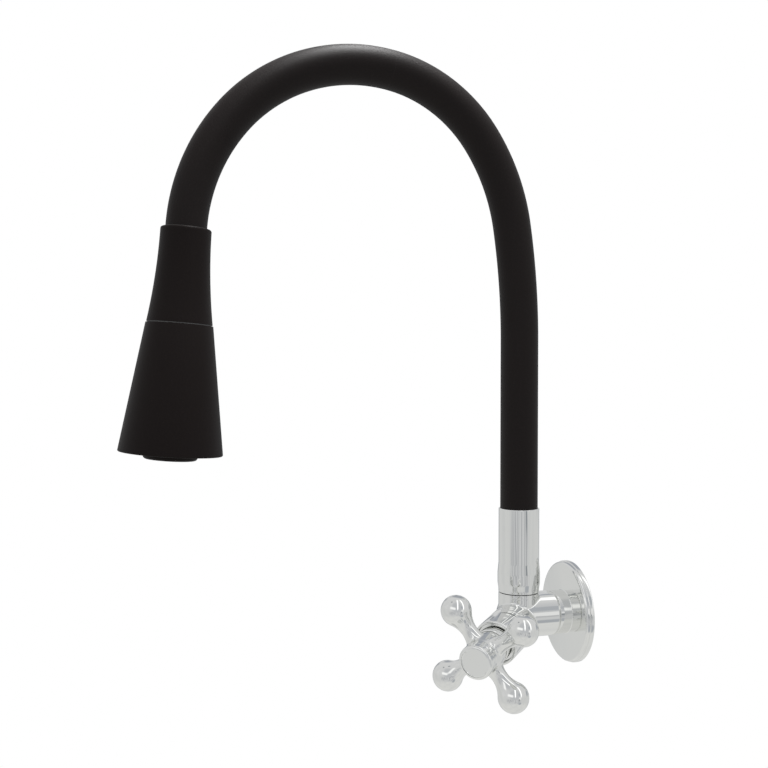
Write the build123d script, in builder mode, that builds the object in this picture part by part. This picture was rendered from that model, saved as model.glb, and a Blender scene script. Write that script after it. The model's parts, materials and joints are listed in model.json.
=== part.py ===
"""Flexible wall faucet with a cross handle, a bendable spout and a two-jet spray head.

Frame, in millimetres: the wall is the plane Y = 0 and the origin is the centre of the wall
flange's back face, on the inlet's axis. The faucet reaches towards the user along -Y, +Z is
up, and the inlet's thread points along +Y into the wall.
"""
from math import asin, cos, degrees, pi, radians, sin
import os

from build123d import *

os.makedirs("parts", exist_ok=True)

# Clearances, all on the radius or along the axis
running = 0.08
slip = 0.05
seat_gap = 0.3
spring_play = 0.2

# How far cutting shapes run past the faces that they open
overshoot = 1.0

# Rubber sealing rings
cord_sides = 8

# Wall side
inlet_radius = 20.955 / 2
inlet_length = 9.5
inlet_chamfer = 1.2
tail_relief = 0.75
flange_radius = 30.0
flange_depth = 5.3
flange_wall = 1.0
flange_edge = 1.2
flange_neck_radius = 12.75
flange_neck_length = 7.5
flange_ring = 1.15
water_bore = 5.0

# Valve body
reach = 34.3
arm_radius = 13.3
arm_round = 0.8
barrel_radius = 11.9
barrel_top = 13.0
well_radius = 8.0
well_depth = 5.0
outlet_bore = 3.0
body_blend = 1.2

# Valve axis: it leaves the body sideways and a little downwards
valve_drop = 3.3
valve_turn = 46.0
valve_dip = 6.6
boss_radius = 13.05
boss_length = 19.5
spigot_length = 6.5
spigot_radius = 11.85
chamber_radius = 10.5
seat_depth = 6.0
thread_start = 11.5

# Ceramic cartridge
seal_height = 2.6
seal_bore = 5.2
seal_squeeze = 0.6
disc_radius = 8.0
disc_height = 2.6
port_radius = 2.2
port_offset = 4.5
skirt_wall = 0.95
dog_width = 4.0
dog_reach = 6.8
dog_depth = 1.4
dog_height = 2.6
dog_rest = 45.0
handle_travel = 90.0
stop_radius = 4.8
stop_play = 1.0
stem_radius = 4.0
stem_flange = 5.6
stem_flange_height = 0.7
stem_washer_height = 0.8
stem_ring = 0.7
stem_ring_places = (4.5, 9.0)
bonnet_ring = 0.75
collar_height = 1.5
hex_flats = 19.0
hex_height = 5.5
bonnet_neck_radius = 6.4
bonnet_neck_length = 4.2
clip_height = 0.7
clip_radius = 5.6
clip_groove = 0.8
clip_gap = 60.0
window_width = 6.0
window_angle = 90.0

# Bonnet shroud
shroud_wall = 1.1
shroud_length = 19.7
shroud_web = 1.0
shroud_edge = 0.7

# Cross handle
handle_place = 54.5
hub_back = 10.0
hub_front = 14.2
hub_radius = 10.5
hub_belly = 3.3
drum_start = 6.0
drum_radius = 9.6
drum_edge = 1.6
hub_skirt_bore = 7.2
hub_skirt_radius = 9.0
hub_skirt_length = 8.0
ball_reach = 27.6
ball_radius = 8.57
waist_radius = 4.4
waist_place = 14.5
arm_blend = 2.0
handle_spin = 34.85
spline_teeth = 20
spline_depth = 0.35
spline_length = 12.5
web_height = 1.2
cap_radius = 8.28
cap_height = 4.2
cap_recess = 0.4
cap_wall = 1.4
screw_radius = 2.0
screw_length = 9.0
screw_head_radius = 3.8
screw_head_height = 2.6
hex_key = 2.5

# Swivel under the spout
washer_height = 1.2
washer_radius = 11.3
nipple_radius = 8.5
nipple_height = 17.5
swivel_ring = 1.0
swivel_ring_places = (4.6, 9.4)
swivel_clip_place = 14.2
swivel_clip_height = 1.3
swivel_clip_grip = 1.1

# Spout socket
socket_radius = 11.88
socket_bulge = 12.45
socket_top = 63.5
bulge_start = 1.6
bulge_low = 5.3
bulge_high = 11.3
bulge_end = 17.2
bulge_round = 12.0
fitting_thread = 9.0
fitting_thread_length = 6.0
fitting_flange = 9.9
fitting_flange_height = 3.0
fitting_bore = 3.0
barb_radius = 3.9
barb_length = 17.0
barb_count = 4
barb_height = 0.25
hose_grip = 20.0

# Spout hose, in three layers about one centre line
cover_radius = 11.0
cover_wall = 1.9
conduit_radius = 8.9
conduit_wall = 1.2
water_radius = 6.2
water_wall = 2.0
ferrule_wall = 0.8
ferrule_length = 13.0
riser_top = 162.0
low_bend_radius = 445.0
low_bend_turn = 8.7
arch_radii = (119.0, 84.5)
arch_turns = (25.7, 45.7)
high_bend_radius = 95.0
high_bend_turn = 36.0
drop_radii = (95.0, 106.0)
drop_turns = (23.4, 36.3)

# Spray head, lengths measured down its axis from the top of its neck
neck_grip = 14.2
neck_top_radius = 13.5
neck_top_edge = 1.2
neck_length = 50.85
neck_base_radius = 17.5
seam_gap = 0.4
head_washer_height = 2.0
neck_floor = 2.5
chamber_length = 4.0
core_thread_radius = 11.0
core_bore = 5.5
core_neck_radius = 9.5
core_clip_height = 1.2
core_clip_grip = 1.3
core_shoulder = 1.5
core_stem_wall = 1.7
core_plate_radius = 13.0
core_plate_height = 4.0
core_reach = 34.75
jet_circle = 3.6
jet_port = 1.7
seal_ring = 0.6
cone_top_radius = 17.85
cone_base_radius = 27.8
cone_length = 69.15
cone_wall = 2.2
cone_edge = 0.6
cone_roof = 3.0
selector_height = 4.0
selector_radius = 15.0
selector_gap = 0.2
cross_drilling = 1.1
manifold_wall = 1.5
spray_room = 7.5
manifold_play = 0.55
manifold_ribs = 3
spray_circle = 11.7
inner_tube_radius = 8.5
face_radius = 25.0
face_recess = 3.0
face_height = 2.4
insert_radius = 14.5
insert_drop = 3.3
insert_edge = 1.8
aerator_radius = 11.0
aerator_height = 7.0
aerator_recess = 0.7
aerator_wall = 1.5
screen_height = 1.2
screen_pitch = 3.0
screen_hole = 2.2
screen_count = 5
nozzle_row_radii = (16.9, 20.1)
nozzle_counts = (8, 12)
nozzle_radius = 0.9
nozzle_drop = 1.6
mat_height = 1.5


def half_section(plane, outline, rounds=()):
    """Closed half outline of a turned piece as (radius, distance) points.

    Each pair in rounds is a corner of the outline and the radius that rounds it.
    """
    with BuildSketch(plane) as section:
        with BuildLine():
            Polyline(*outline, close=True)
        make_face()
        for corner, radius in rounds:
            fillet(section.vertices().sort_by_distance(Vector(*corner))[0], radius)
    return section.sketch


def ring_section(plane, ring_radius, place, cord_radius):
    """Cord of a rubber sealing ring, cut across: round, with flats where it is squeezed."""
    with BuildSketch(plane) as section:
        with Locations((ring_radius, place)):
            RegularPolygon(
                cord_radius, cord_sides, major_radius=False, rotation=180 / cord_sides
            )
    return section.sketch


def washer_section(plane, inner, outer, low, high):
    """Cross section of a flat ring between two radii and two places along its axis."""
    return half_section(plane, [(inner, low), (outer, low), (outer, high), (inner, high)])


def open_ring(plane, inner, outer, gap):
    """Flat spring clip: a ring with a wedge of some degrees left open."""
    with BuildSketch(plane) as section:
        Circle(outer)
        Circle(inner, mode=Mode.SUBTRACT)
        half_gap = radians(gap / 2)
        corner = (2 * outer * cos(half_gap), 2 * outer * sin(half_gap))
        with BuildLine():
            Polyline((0, 0), corner, (corner[0], -corner[1]), close=True)
        make_face(mode=Mode.SUBTRACT)
    return section.sketch


# Wall flange, a thin cup with a neck that covers the inlet
shoulder = flange_depth + flange_neck_length
flange_neck_bore = flange_neck_radius - flange_wall
flange_inside = flange_depth - flange_wall
with BuildPart() as wall_flange:
    revolve(
        half_section(
            Plane.XY,
            [
                (flange_radius, 0),
                (flange_radius, -flange_depth),
                (flange_neck_radius, -flange_depth),
                (flange_neck_radius, -shoulder),
                (flange_neck_bore, -shoulder),
                (flange_neck_bore, -flange_inside),
                (flange_radius - flange_wall, -flange_inside),
                (flange_radius - flange_wall, 0),
            ],
            [((flange_radius, -flange_depth), flange_edge)],
        ),
        axis=Axis.Y,
    )
wall_flange.part.label = "wall_flange"
export_step(wall_flange.part, "parts/wall_flange.step")

# Rubber ring that holds the flange's neck on the tail
flange_ring_place = -(flange_depth + flange_neck_length / 2)
flange_ring_centre = flange_neck_bore - slip - flange_ring
with BuildPart() as flange_o_ring:
    revolve(
        ring_section(Plane.XY, flange_ring_centre, flange_ring_place, flange_ring),
        axis=Axis.Y,
    )
flange_o_ring.part.label = "flange_o_ring"
export_step(flange_o_ring.part, "parts/flange_o_ring.step")

# Planes and axes of the upright barrel and of the slanted valve boss
spout_foot = Vector(0, -reach, 0)
spout_axis = Axis(spout_foot, (0, 0, 1))
spout_plane = Plane(origin=spout_foot)
spout_section = Plane(origin=spout_foot, x_dir=(1, 0, 0), z_dir=(0, -1, 0))

valve_centre = Vector(0, -reach, -valve_drop)
valve_direction = Vector(
    sin(radians(valve_turn)) * cos(radians(valve_dip)),
    -cos(radians(valve_turn)) * cos(radians(valve_dip)),
    -sin(radians(valve_dip)),
)
valve_side = Vector(cos(radians(valve_turn)), sin(radians(valve_turn)), 0) * -1
valve_axis = Axis(valve_centre, valve_direction)
valve_plane = Plane(origin=valve_centre, x_dir=valve_side, z_dir=valve_direction)
valve_section = Plane(
    origin=valve_centre, x_dir=valve_side, z_dir=valve_side.cross(valve_direction)
)
spigot_end = boss_length + spigot_length

# Valve body: inlet tail, wall arm, upright barrel and valve boss in one casting
tail_radius = inlet_radius - tail_relief
tail_groove = flange_ring_centre - flange_ring - slip
tail_groove_half = flange_ring + slip
well_floor = barrel_top - well_depth
with BuildPart() as valve_body:
    with BuildSketch(spout_plane):
        Circle(barrel_radius)
    extrude(amount=barrel_top)
    with BuildSketch(valve_plane):
        Circle(boss_radius)
    extrude(amount=boss_length)
    with Locations(valve_centre):
        Sphere(boss_radius)
    with Locations(spout_foot):
        Sphere(arm_radius)
    revolve(
        half_section(
            Plane.XY,
            [
                (0, -reach),
                (arm_radius, -reach),
                (arm_radius, -shoulder),
                (0, -shoulder),
            ],
            [((arm_radius, -shoulder), arm_round)],
        ),
        axis=Axis.Y,
    )
    revolve(
        half_section(
            Plane.XY,
            [
                (0, -shoulder),
                (tail_radius, -shoulder),
                (tail_radius, flange_ring_place - tail_groove_half),
                (tail_groove, flange_ring_place - tail_groove_half),
                (tail_groove, flange_ring_place + tail_groove_half),
                (tail_radius, flange_ring_place + tail_groove_half),
                (tail_radius, 0),
                (inlet_radius, 0),
                (inlet_radius, inlet_length - inlet_chamfer),
                (inlet_radius - inlet_chamfer, inlet_length),
                (0, inlet_length),
            ],
        ),
        axis=Axis.Y,
    )
    with BuildSketch(valve_plane.offset(boss_length)):
        Circle(spigot_radius)
    extrude(amount=spigot_length)
    # The rounded back of the arm is faced off level with the barrel
    with BuildSketch(spout_plane.offset(barrel_top)):
        Circle(arm_radius)
    extrude(amount=arm_radius, mode=Mode.SUBTRACT)
    # The casting's inner corners, where the barrel meets the arm and the boss, are blended
    ball_top = (arm_radius**2 - barrel_radius**2) ** 0.5
    inner_corners = valve_body.edges().filter_by_position(
        Axis.Z, ball_top + overshoot, barrel_top - overshoot
    )
    fillet(inner_corners, body_blend)
    # Inlet bore, seat hole, cartridge chamber and threaded well for the swivel nipple
    with BuildSketch(Plane.XZ.offset(-inlet_length)):
        Circle(water_bore)
    extrude(amount=inlet_length + reach - overshoot, mode=Mode.SUBTRACT)
    with BuildSketch(valve_plane.offset(-overshoot)):
        Circle(water_bore)
    extrude(amount=seat_depth + 2 * overshoot, mode=Mode.SUBTRACT)
    with BuildSketch(valve_plane.offset(seat_depth)):
        Circle(chamber_radius)
    extrude(amount=spigot_end, mode=Mode.SUBTRACT)
    with BuildSketch(spout_plane.offset(well_floor)):
        Circle(well_radius)
    extrude(amount=well_depth, mode=Mode.SUBTRACT)
    # Slanted drilling that joins the chamber to the well
    drill_start = spout_foot + Vector(0, 0, well_floor + overshoot)
    drill_end = valve_centre + valve_direction * (seat_depth + outlet_bore)
    drill_end = drill_end + Vector(0, 0, chamber_radius - outlet_bore)
    drill_run = drill_end - drill_start
    with BuildSketch(Plane(origin=drill_start, z_dir=drill_run)):
        Circle(outlet_bore)
    extrude(amount=drill_run.length, mode=Mode.SUBTRACT)
valve_body.part.label = "valve_body"
export_step(valve_body.part, "parts/valve_body.step")

# Stack of the cartridge, measured along the valve axis
fixed_disc_low = seat_depth + seal_height
moving_disc_low = fixed_disc_low + disc_height
moving_disc_high = moving_disc_low + disc_height
dog_low = moving_disc_high - dog_depth + slip
dog_high = moving_disc_high + dog_height
flange_high = dog_high + stem_flange_height
bonnet_roof = flange_high + stem_washer_height
skirt_low = seat_depth + seal_squeeze
disc_bore = disc_radius + slip
skirt_radius = disc_bore + skirt_wall
dog_bore = disc_radius - 2 * slip
dog_half_angle = degrees(asin(dog_width / 2 / stop_radius))
stop_start = dog_rest + handle_travel + dog_half_angle + stop_play
stop_sweep = 180 - handle_travel - 2 * (dog_half_angle + stop_play)
collar_low = spigot_end + shroud_web
hex_low = collar_low + collar_height
hex_high = hex_low + hex_height
neck_high = hex_high + bonnet_neck_length
stem_bore = stem_radius + running
bonnet_thread = chamber_radius - slip
bonnet_thread_low = seat_depth + thread_start
bonnet_groove = bonnet_thread - 2 * bonnet_ring - slip
bonnet_groove_high = spigot_end - slip
bonnet_groove_low = bonnet_groove_high - 2 * (bonnet_ring + slip)

# Cartridge bonnet: threaded housing of the discs with a hexagon and a guide for the stem
with BuildPart() as cartridge_bonnet:
    revolve(
        half_section(
            valve_section,
            [
                (0, skirt_low),
                (skirt_radius, skirt_low),
                (skirt_radius, bonnet_thread_low),
                (bonnet_thread, bonnet_thread_low),
                (bonnet_thread, bonnet_groove_low),
                (bonnet_groove, bonnet_groove_low),
                (bonnet_groove, bonnet_groove_high),
                (bonnet_thread, bonnet_groove_high),
                (bonnet_thread, collar_low),
                (spigot_radius - slip, collar_low),
                (spigot_radius - slip, hex_low),
                (0, hex_low),
            ],
        ),
        axis=valve_axis,
    )
    with BuildSketch(valve_plane.offset(hex_low)):
        RegularPolygon(hex_flats / 2, 6, major_radius=False)
    extrude(amount=hex_height)
    with BuildSketch(valve_plane.offset(hex_high)):
        Circle(bonnet_neck_radius)
    extrude(amount=bonnet_neck_length)
    with BuildSketch(valve_plane.offset(skirt_low)):
        Circle(disc_bore)
    extrude(amount=moving_disc_high + slip - skirt_low, mode=Mode.SUBTRACT)
    # Cavity of the stem's dog, with two ribs left standing as its stops
    with BuildSketch(valve_plane.offset(moving_disc_high)) as dog_cavity:
        Circle(dog_bore)
        for side in (0, 180):
            with BuildLine():
                stop_arc = CenterArc((0, 0), dog_bore + overshoot, stop_start + side, stop_sweep)
                inner_arc = CenterArc((0, 0), stop_radius, stop_start + side, stop_sweep)
                Line(stop_arc @ 0, inner_arc @ 0)
                Line(stop_arc @ 1, inner_arc @ 1)
            make_face(mode=Mode.SUBTRACT)
    extrude(amount=dog_high + slip - moving_disc_high, mode=Mode.SUBTRACT)
    with BuildSketch(valve_plane.offset(dog_high)):
        Circle(stem_flange + slip)
    extrude(amount=bonnet_roof - dog_high, mode=Mode.SUBTRACT)
    with BuildSketch(valve_plane.offset(bonnet_roof)):
        Circle(stem_bore)
    extrude(amount=neck_high, mode=Mode.SUBTRACT)
    # Side windows that let the water out above the moving disc
    with BuildSketch(valve_plane.offset(moving_disc_high)):
        Rectangle(2 * chamber_radius, window_width, rotation=window_angle)
    extrude(amount=bonnet_thread_low - moving_disc_high, mode=Mode.SUBTRACT)
cartridge_bonnet.part.label = "cartridge_bonnet"
export_step(cartridge_bonnet.part, "parts/cartridge_bonnet.step")

# Sealing ring between the bonnet's thread and the mouth of the chamber
bonnet_ring_place = (bonnet_groove_low + bonnet_groove_high) / 2
with BuildPart() as bonnet_o_ring:
    revolve(
        ring_section(valve_section, bonnet_thread - bonnet_ring, bonnet_ring_place, bonnet_ring),
        axis=valve_axis,
    )
bonnet_o_ring.part.label = "bonnet_o_ring"
export_step(bonnet_o_ring.part, "parts/bonnet_o_ring.step")

# Rubber seal that presses the discs up from the body's seat
with BuildPart() as seat_seal:
    revolve(
        washer_section(valve_section, seal_bore, disc_radius, seat_depth, fixed_disc_low),
        axis=valve_axis,
    )
seat_seal.part.label = "seat_seal"
export_step(seat_seal.part, "parts/seat_seal.step")

# Ceramic discs: the ports of the two lie crosswise while the valve is shut
with BuildPart() as fixed_disc:
    with BuildSketch(valve_plane.offset(fixed_disc_low)):
        Circle(disc_radius)
        with PolarLocations(port_offset, 2):
            Circle(port_radius, mode=Mode.SUBTRACT)
    extrude(amount=disc_height)
fixed_disc.part.label = "fixed_disc"
export_step(fixed_disc.part, "parts/fixed_disc.step")

with BuildPart() as moving_disc:
    with BuildSketch(valve_plane.offset(moving_disc_low)):
        Circle(disc_radius - slip)
        with PolarLocations(port_offset, 2, start_angle=90):
            Circle(port_radius, mode=Mode.SUBTRACT)
    extrude(amount=disc_height)
    with BuildSketch(valve_plane.offset(moving_disc_high - dog_depth)):
        Rectangle(2 * disc_radius, dog_width + 2 * slip, rotation=dog_rest)
    extrude(amount=dog_depth, mode=Mode.SUBTRACT)
moving_disc.part.label = "moving_disc"
export_step(moving_disc.part, "parts/moving_disc.step")

# Cross handle places along the valve axis
hub_low = handle_place - hub_back
hub_high = handle_place + hub_front
spline_high = hub_low + spline_length
web_high = spline_high + web_height
cap_low = hub_high - cap_recess - cap_height
stem_end = spline_high - seat_gap
clip_low = neck_high + spring_play
clip_groove_radius = stem_radius - clip_groove
stem_groove = stem_radius - 2 * stem_ring - slip
stem_rings = [bonnet_roof + place for place in stem_ring_places]


def spline_star(radius):
    """Toothed outline of the stem's end, as points round the valve axis."""
    step = pi / spline_teeth
    radii = (radius, radius - spline_depth)
    return [
        (radii[count % 2] * cos(step * count), radii[count % 2] * sin(step * count))
        for count in range(2 * spline_teeth)
    ]


# Valve stem: a dog that turns the moving disc, a thrust flange, two ring grooves and a spline
with BuildPart() as valve_stem:
    with BuildSketch(valve_plane.offset(dog_low)):
        Circle(dog_reach)
        Rectangle(2 * dog_reach, dog_width, rotation=dog_rest, mode=Mode.INTERSECT)
    extrude(amount=dog_high - dog_low)
    with BuildSketch(valve_plane.offset(dog_high)):
        Circle(stem_flange)
    extrude(amount=stem_flange_height)
    with BuildSketch(valve_plane.offset(flange_high)):
        Circle(stem_radius)
    extrude(amount=hub_low - flange_high)
    with BuildSketch(valve_plane.offset(hub_low)):
        with BuildLine():
            Polyline(*spline_star(stem_radius), close=True)
        make_face()
    extrude(amount=stem_end - hub_low)
    for place in stem_rings:
        revolve(
            washer_section(
                valve_section,
                stem_groove,
                stem_bore,
                place - stem_ring - slip,
                place + stem_ring + slip,
            ),
            axis=valve_axis,
            mode=Mode.SUBTRACT,
        )
    revolve(
        washer_section(
            valve_section,
            clip_groove_radius,
            stem_bore,
            clip_low - slip,
            clip_low + clip_height + slip,
        ),
        axis=valve_axis,
        mode=Mode.SUBTRACT,
    )
    with BuildSketch(valve_plane.offset(web_high - screw_length)):
        Circle(screw_radius + slip)
    extrude(amount=screw_length, mode=Mode.SUBTRACT)
valve_stem.part.label = "valve_stem"
export_step(valve_stem.part, "parts/valve_stem.step")

with BuildPart() as stem_o_rings:
    for place in stem_rings:
        revolve(
            ring_section(valve_section, stem_radius - stem_ring, place, stem_ring),
            axis=valve_axis,
        )
stem_o_rings.part.label = "stem_o_rings"
export_step(stem_o_rings.part, "parts/stem_o_rings.step")

# Slippery washer between the stem's flange and the bonnet's roof
with BuildPart() as stem_washer:
    revolve(
        washer_section(
            valve_section, stem_radius + slip, stem_flange, flange_high, bonnet_roof
        ),
        axis=valve_axis,
    )
stem_washer.part.label = "stem_washer"
export_step(stem_washer.part, "parts/stem_washer.step")

# Open spring clip above the bonnet that keeps the stem from pushing in
with BuildPart() as stem_clip:
    extrude(
        open_ring(valve_plane.offset(clip_low), clip_groove_radius + slip, clip_radius, clip_gap),
        amount=clip_height,
    )
stem_clip.part.label = "stem_clip"
export_step(stem_clip.part, "parts/stem_clip.step")

# Bonnet shroud: a plated sleeve whose inner web the bonnet's collar clamps
shroud_end = boss_length + shroud_length
shroud_bore = spigot_radius + slip
shroud_radius = shroud_bore + shroud_wall
with BuildPart() as bonnet_shroud:
    revolve(
        half_section(
            valve_section,
            [
                (shroud_bore, boss_length),
                (shroud_radius, boss_length),
                (shroud_radius, shroud_end),
                (shroud_bore, shroud_end),
                (shroud_bore, collar_low),
                (bonnet_thread + slip, collar_low),
                (bonnet_thread + slip, spigot_end),
                (shroud_bore, spigot_end),
            ],
            [((shroud_radius, shroud_end), shroud_edge)],
        ),
        axis=valve_axis,
    )
bonnet_shroud.part.label = "bonnet_shroud"
export_step(bonnet_shroud.part, "parts/bonnet_shroud.step")

# Cross handle: a hub and drum with four waisted arms that swell into balls
flare_radius = (
    (ball_reach - waist_place) ** 2 + waist_radius**2 - ball_radius**2
) / (2 * (ball_radius - waist_radius))
flare_height = waist_radius + flare_radius
joint_share = ball_radius / (ball_radius + flare_radius)
joint_reach = ball_reach - (ball_reach - waist_place) * joint_share
joint_height = flare_height * joint_share
arm_root = hub_radius / 2
root_height = flare_height - (flare_radius**2 - (waist_place - arm_root) ** 2) ** 0.5
handle_centre = valve_centre + valve_direction * handle_place
with BuildPart() as cross_handle:
    with BuildSketch(valve_section) as hub_section:
        with BuildLine():
            drum_low = handle_place + drum_start
            Line((0, hub_low), (drum_radius, hub_low))
            ThreePointArc(
                (drum_radius, hub_low),
                (hub_radius, handle_place - hub_belly),
                (drum_radius, drum_low),
            )
            Line((drum_radius, drum_low), (drum_radius, hub_high))
            Line((drum_radius, hub_high), (0, hub_high))
            Line((0, hub_high), (0, hub_low))
        make_face()
        drum_corner = hub_section.vertices().sort_by_distance(Vector(drum_radius, hub_high))[0]
        fillet(drum_corner, drum_edge)
    revolve(axis=valve_axis)
    for quarter in range(4):
        arm_angle = radians(handle_spin + 90 * quarter)
        arm_direction = valve_plane.x_dir * cos(arm_angle) + valve_plane.y_dir * sin(arm_angle)
        arm_section = Plane(
            origin=handle_centre,
            x_dir=arm_direction,
            z_dir=arm_direction.cross(valve_direction),
        )
        with BuildSketch(arm_section):
            with BuildLine():
                Line((arm_root, 0), (arm_root, root_height))
                ThreePointArc(
                    (arm_root, root_height),
                    (waist_place, waist_radius),
                    (joint_reach, joint_height),
                )
                ThreePointArc(
                    (joint_reach, joint_height),
                    (ball_reach, ball_radius),
                    (ball_reach + ball_radius, 0),
                )
                Line((ball_reach + ball_radius, 0), (arm_root, 0))
            make_face()
        revolve(axis=Axis(handle_centre, arm_direction))
    fillet(cross_handle.edges().filter_by(GeomType.BSPLINE), arm_blend)
    # Skirt that reaches into the shroud's mouth
    revolve(
        washer_section(
            valve_section,
            hub_skirt_bore,
            hub_skirt_radius,
            hub_low - hub_skirt_length,
            hub_low + overshoot,
        ),
        axis=valve_axis,
    )
    # Broached socket, screw hole and the pocket of the cap
    with BuildSketch(valve_plane.offset(hub_low)):
        with BuildLine():
            Polyline(*spline_star(stem_radius + slip), close=True)
        make_face()
    extrude(amount=spline_length, mode=Mode.SUBTRACT)
    with BuildSketch(valve_plane.offset(spline_high)):
        Circle(screw_radius + 2 * slip)
    extrude(amount=web_height, mode=Mode.SUBTRACT)
    with BuildSketch(valve_plane.offset(web_high)):
        Circle(screw_head_radius + seat_gap)
    extrude(amount=hub_front, mode=Mode.SUBTRACT)
    with BuildSketch(valve_plane.offset(cap_low)):
        Circle(cap_radius + slip)
    extrude(amount=hub_front, mode=Mode.SUBTRACT)
cross_handle.part.label = "cross_handle"
export_step(cross_handle.part, "parts/cross_handle.step")

# Screw that holds the handle on the stem, and the plain cap that hides it
with BuildPart() as handle_screw:
    with BuildSketch(valve_plane.offset(web_high)):
        Circle(screw_head_radius)
    extrude(amount=screw_head_height)
    with BuildSketch(valve_plane.offset(web_high + seat_gap - screw_length)):
        Circle(screw_radius)
    extrude(amount=screw_length - seat_gap)
    with BuildSketch(valve_plane.offset(web_high + screw_head_height / 2)):
        RegularPolygon(hex_key / 2, 6, major_radius=False)
    extrude(amount=screw_head_height, mode=Mode.SUBTRACT)
handle_screw.part.label = "handle_screw"
export_step(handle_screw.part, "parts/handle_screw.step")

cap_high = cap_low + cap_height
with BuildPart() as handle_cap:
    revolve(
        half_section(
            valve_section,
            [
                (0, cap_high - cap_wall),
                (cap_radius - cap_wall, cap_high - cap_wall),
                (cap_radius - cap_wall, cap_low),
                (cap_radius, cap_low),
                (cap_radius, cap_high),
                (0, cap_high),
            ],
            [((cap_radius, cap_high), seat_gap)],
        ),
        axis=valve_axis,
    )
handle_cap.part.label = "handle_cap"
export_step(handle_cap.part, "parts/handle_cap.step")

# Swivel nipple: screwed into the body, with two ring grooves and a clip groove
nipple_top = barrel_top + nipple_height
ring_groove = nipple_radius - 2 * swivel_ring - slip
clip_groove_inner = nipple_radius - swivel_clip_grip
clip_groove_low = barrel_top + swivel_clip_place
clip_groove_high = clip_groove_low + swivel_clip_height + 2 * slip
swivel_rings = [barrel_top + place for place in swivel_ring_places]
with BuildPart() as swivel_nipple:
    with BuildSketch(spout_plane.offset(well_floor)):
        Circle(well_radius - slip)
        Circle(water_bore, mode=Mode.SUBTRACT)
    extrude(amount=well_depth)
    with BuildSketch(spout_plane.offset(barrel_top)):
        Circle(nipple_radius)
        Circle(water_bore, mode=Mode.SUBTRACT)
    extrude(amount=nipple_height)
    for place in swivel_rings:
        revolve(
            washer_section(
                spout_section,
                ring_groove,
                nipple_radius + overshoot,
                place - swivel_ring - slip,
                place + swivel_ring + slip,
            ),
            axis=spout_axis,
            mode=Mode.SUBTRACT,
        )
    revolve(
        washer_section(
            spout_section,
            clip_groove_inner,
            nipple_radius + overshoot,
            clip_groove_low,
            clip_groove_high,
        ),
        axis=spout_axis,
        mode=Mode.SUBTRACT,
    )
swivel_nipple.part.label = "swivel_nipple"
export_step(swivel_nipple.part, "parts/swivel_nipple.step")

with BuildPart() as swivel_o_rings:
    for place in swivel_rings:
        revolve(
            ring_section(spout_section, nipple_radius - swivel_ring, place, swivel_ring),
            axis=spout_axis,
        )
swivel_o_rings.part.label = "swivel_o_rings"
export_step(swivel_o_rings.part, "parts/swivel_o_rings.step")

# Nylon washer that carries the spout and shows as a dark line
socket_low = barrel_top + washer_height
with BuildPart() as swivel_washer:
    revolve(
        washer_section(
            spout_section, nipple_radius + running, washer_radius, barrel_top, socket_low
        ),
        axis=spout_axis,
    )
swivel_washer.part.label = "swivel_washer"
export_step(swivel_washer.part, "parts/swivel_washer.step")

# Spring clip in the nipple's groove that keeps the spout from lifting off
with BuildPart() as swivel_clip:
    extrude(
        open_ring(
            spout_plane.offset(clip_groove_low + slip),
            clip_groove_inner + slip,
            nipple_radius + swivel_clip_grip,
            clip_gap,
        ),
        amount=swivel_clip_height,
    )
swivel_clip.part.label = "swivel_clip"
export_step(swivel_clip.part, "parts/swivel_clip.step")

# Spout socket: the plated tube that turns on the nipple and grips the hose
fitting_low = nipple_top + spring_play + seat_gap
flange_low = fitting_low + fitting_thread_length
cover_seat = socket_top - hose_grip
cover_bore = cover_radius + slip
clip_room = nipple_radius + swivel_clip_grip + running
with BuildPart() as spout_socket:
    revolve(
        half_section(
            spout_section,
            [
                (nipple_radius + running, socket_low),
                (barrel_radius, socket_low),
                (barrel_radius, socket_low + bulge_start),
                (socket_bulge, socket_low + bulge_low),
                (socket_bulge, socket_low + bulge_high),
                (socket_radius, socket_low + bulge_end),
                (socket_radius, socket_top),
                (cover_bore, socket_top),
                (cover_bore, cover_seat),
                (fitting_flange + slip, cover_seat),
                (fitting_flange + slip, flange_low),
                (fitting_thread, flange_low),
                (fitting_thread, nipple_top + spring_play),
                (nipple_radius + running, nipple_top + spring_play),
            ],
            [
                ((barrel_radius, socket_low + bulge_start), bulge_round),
                ((socket_bulge, socket_low + bulge_low), bulge_round),
                ((socket_bulge, socket_low + bulge_high), bulge_round),
                ((socket_radius, socket_low + bulge_end), bulge_round),
            ],
        ),
        axis=spout_axis,
    )
    revolve(
        washer_section(
            spout_section,
            nipple_radius,
            clip_room,
            clip_groove_low - slip,
            clip_groove_high + slip,
        ),
        axis=spout_axis,
        mode=Mode.SUBTRACT,
    )
spout_socket.part.label = "spout_socket"
export_step(spout_socket.part, "parts/spout_socket.step")

# Centre line of the hose in its own upright plane: x away from the wall, y up
hose_plane = Plane(origin=spout_foot, x_dir=(0, -1, 0), z_dir=(-1, 0, 0))
low_bend_line = JernArc((0, riser_top), (0, 1), low_bend_radius, -low_bend_turn)
arch_first = JernArc(low_bend_line @ 1, low_bend_line % 1, arch_radii[0], -arch_turns[0])
arch_second = JernArc(arch_first @ 1, arch_first % 1, arch_radii[1], -arch_turns[1])
high_bend_line = JernArc(arch_second @ 1, arch_second % 1, high_bend_radius, -high_bend_turn)
drop_first = JernArc(high_bend_line @ 1, high_bend_line % 1, drop_radii[0], -drop_turns[0])
drop_second = JernArc(drop_first @ 1, drop_first % 1, drop_radii[1], -drop_turns[1])
neck_top = drop_second @ 1
neck_down = drop_second % 1

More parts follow.
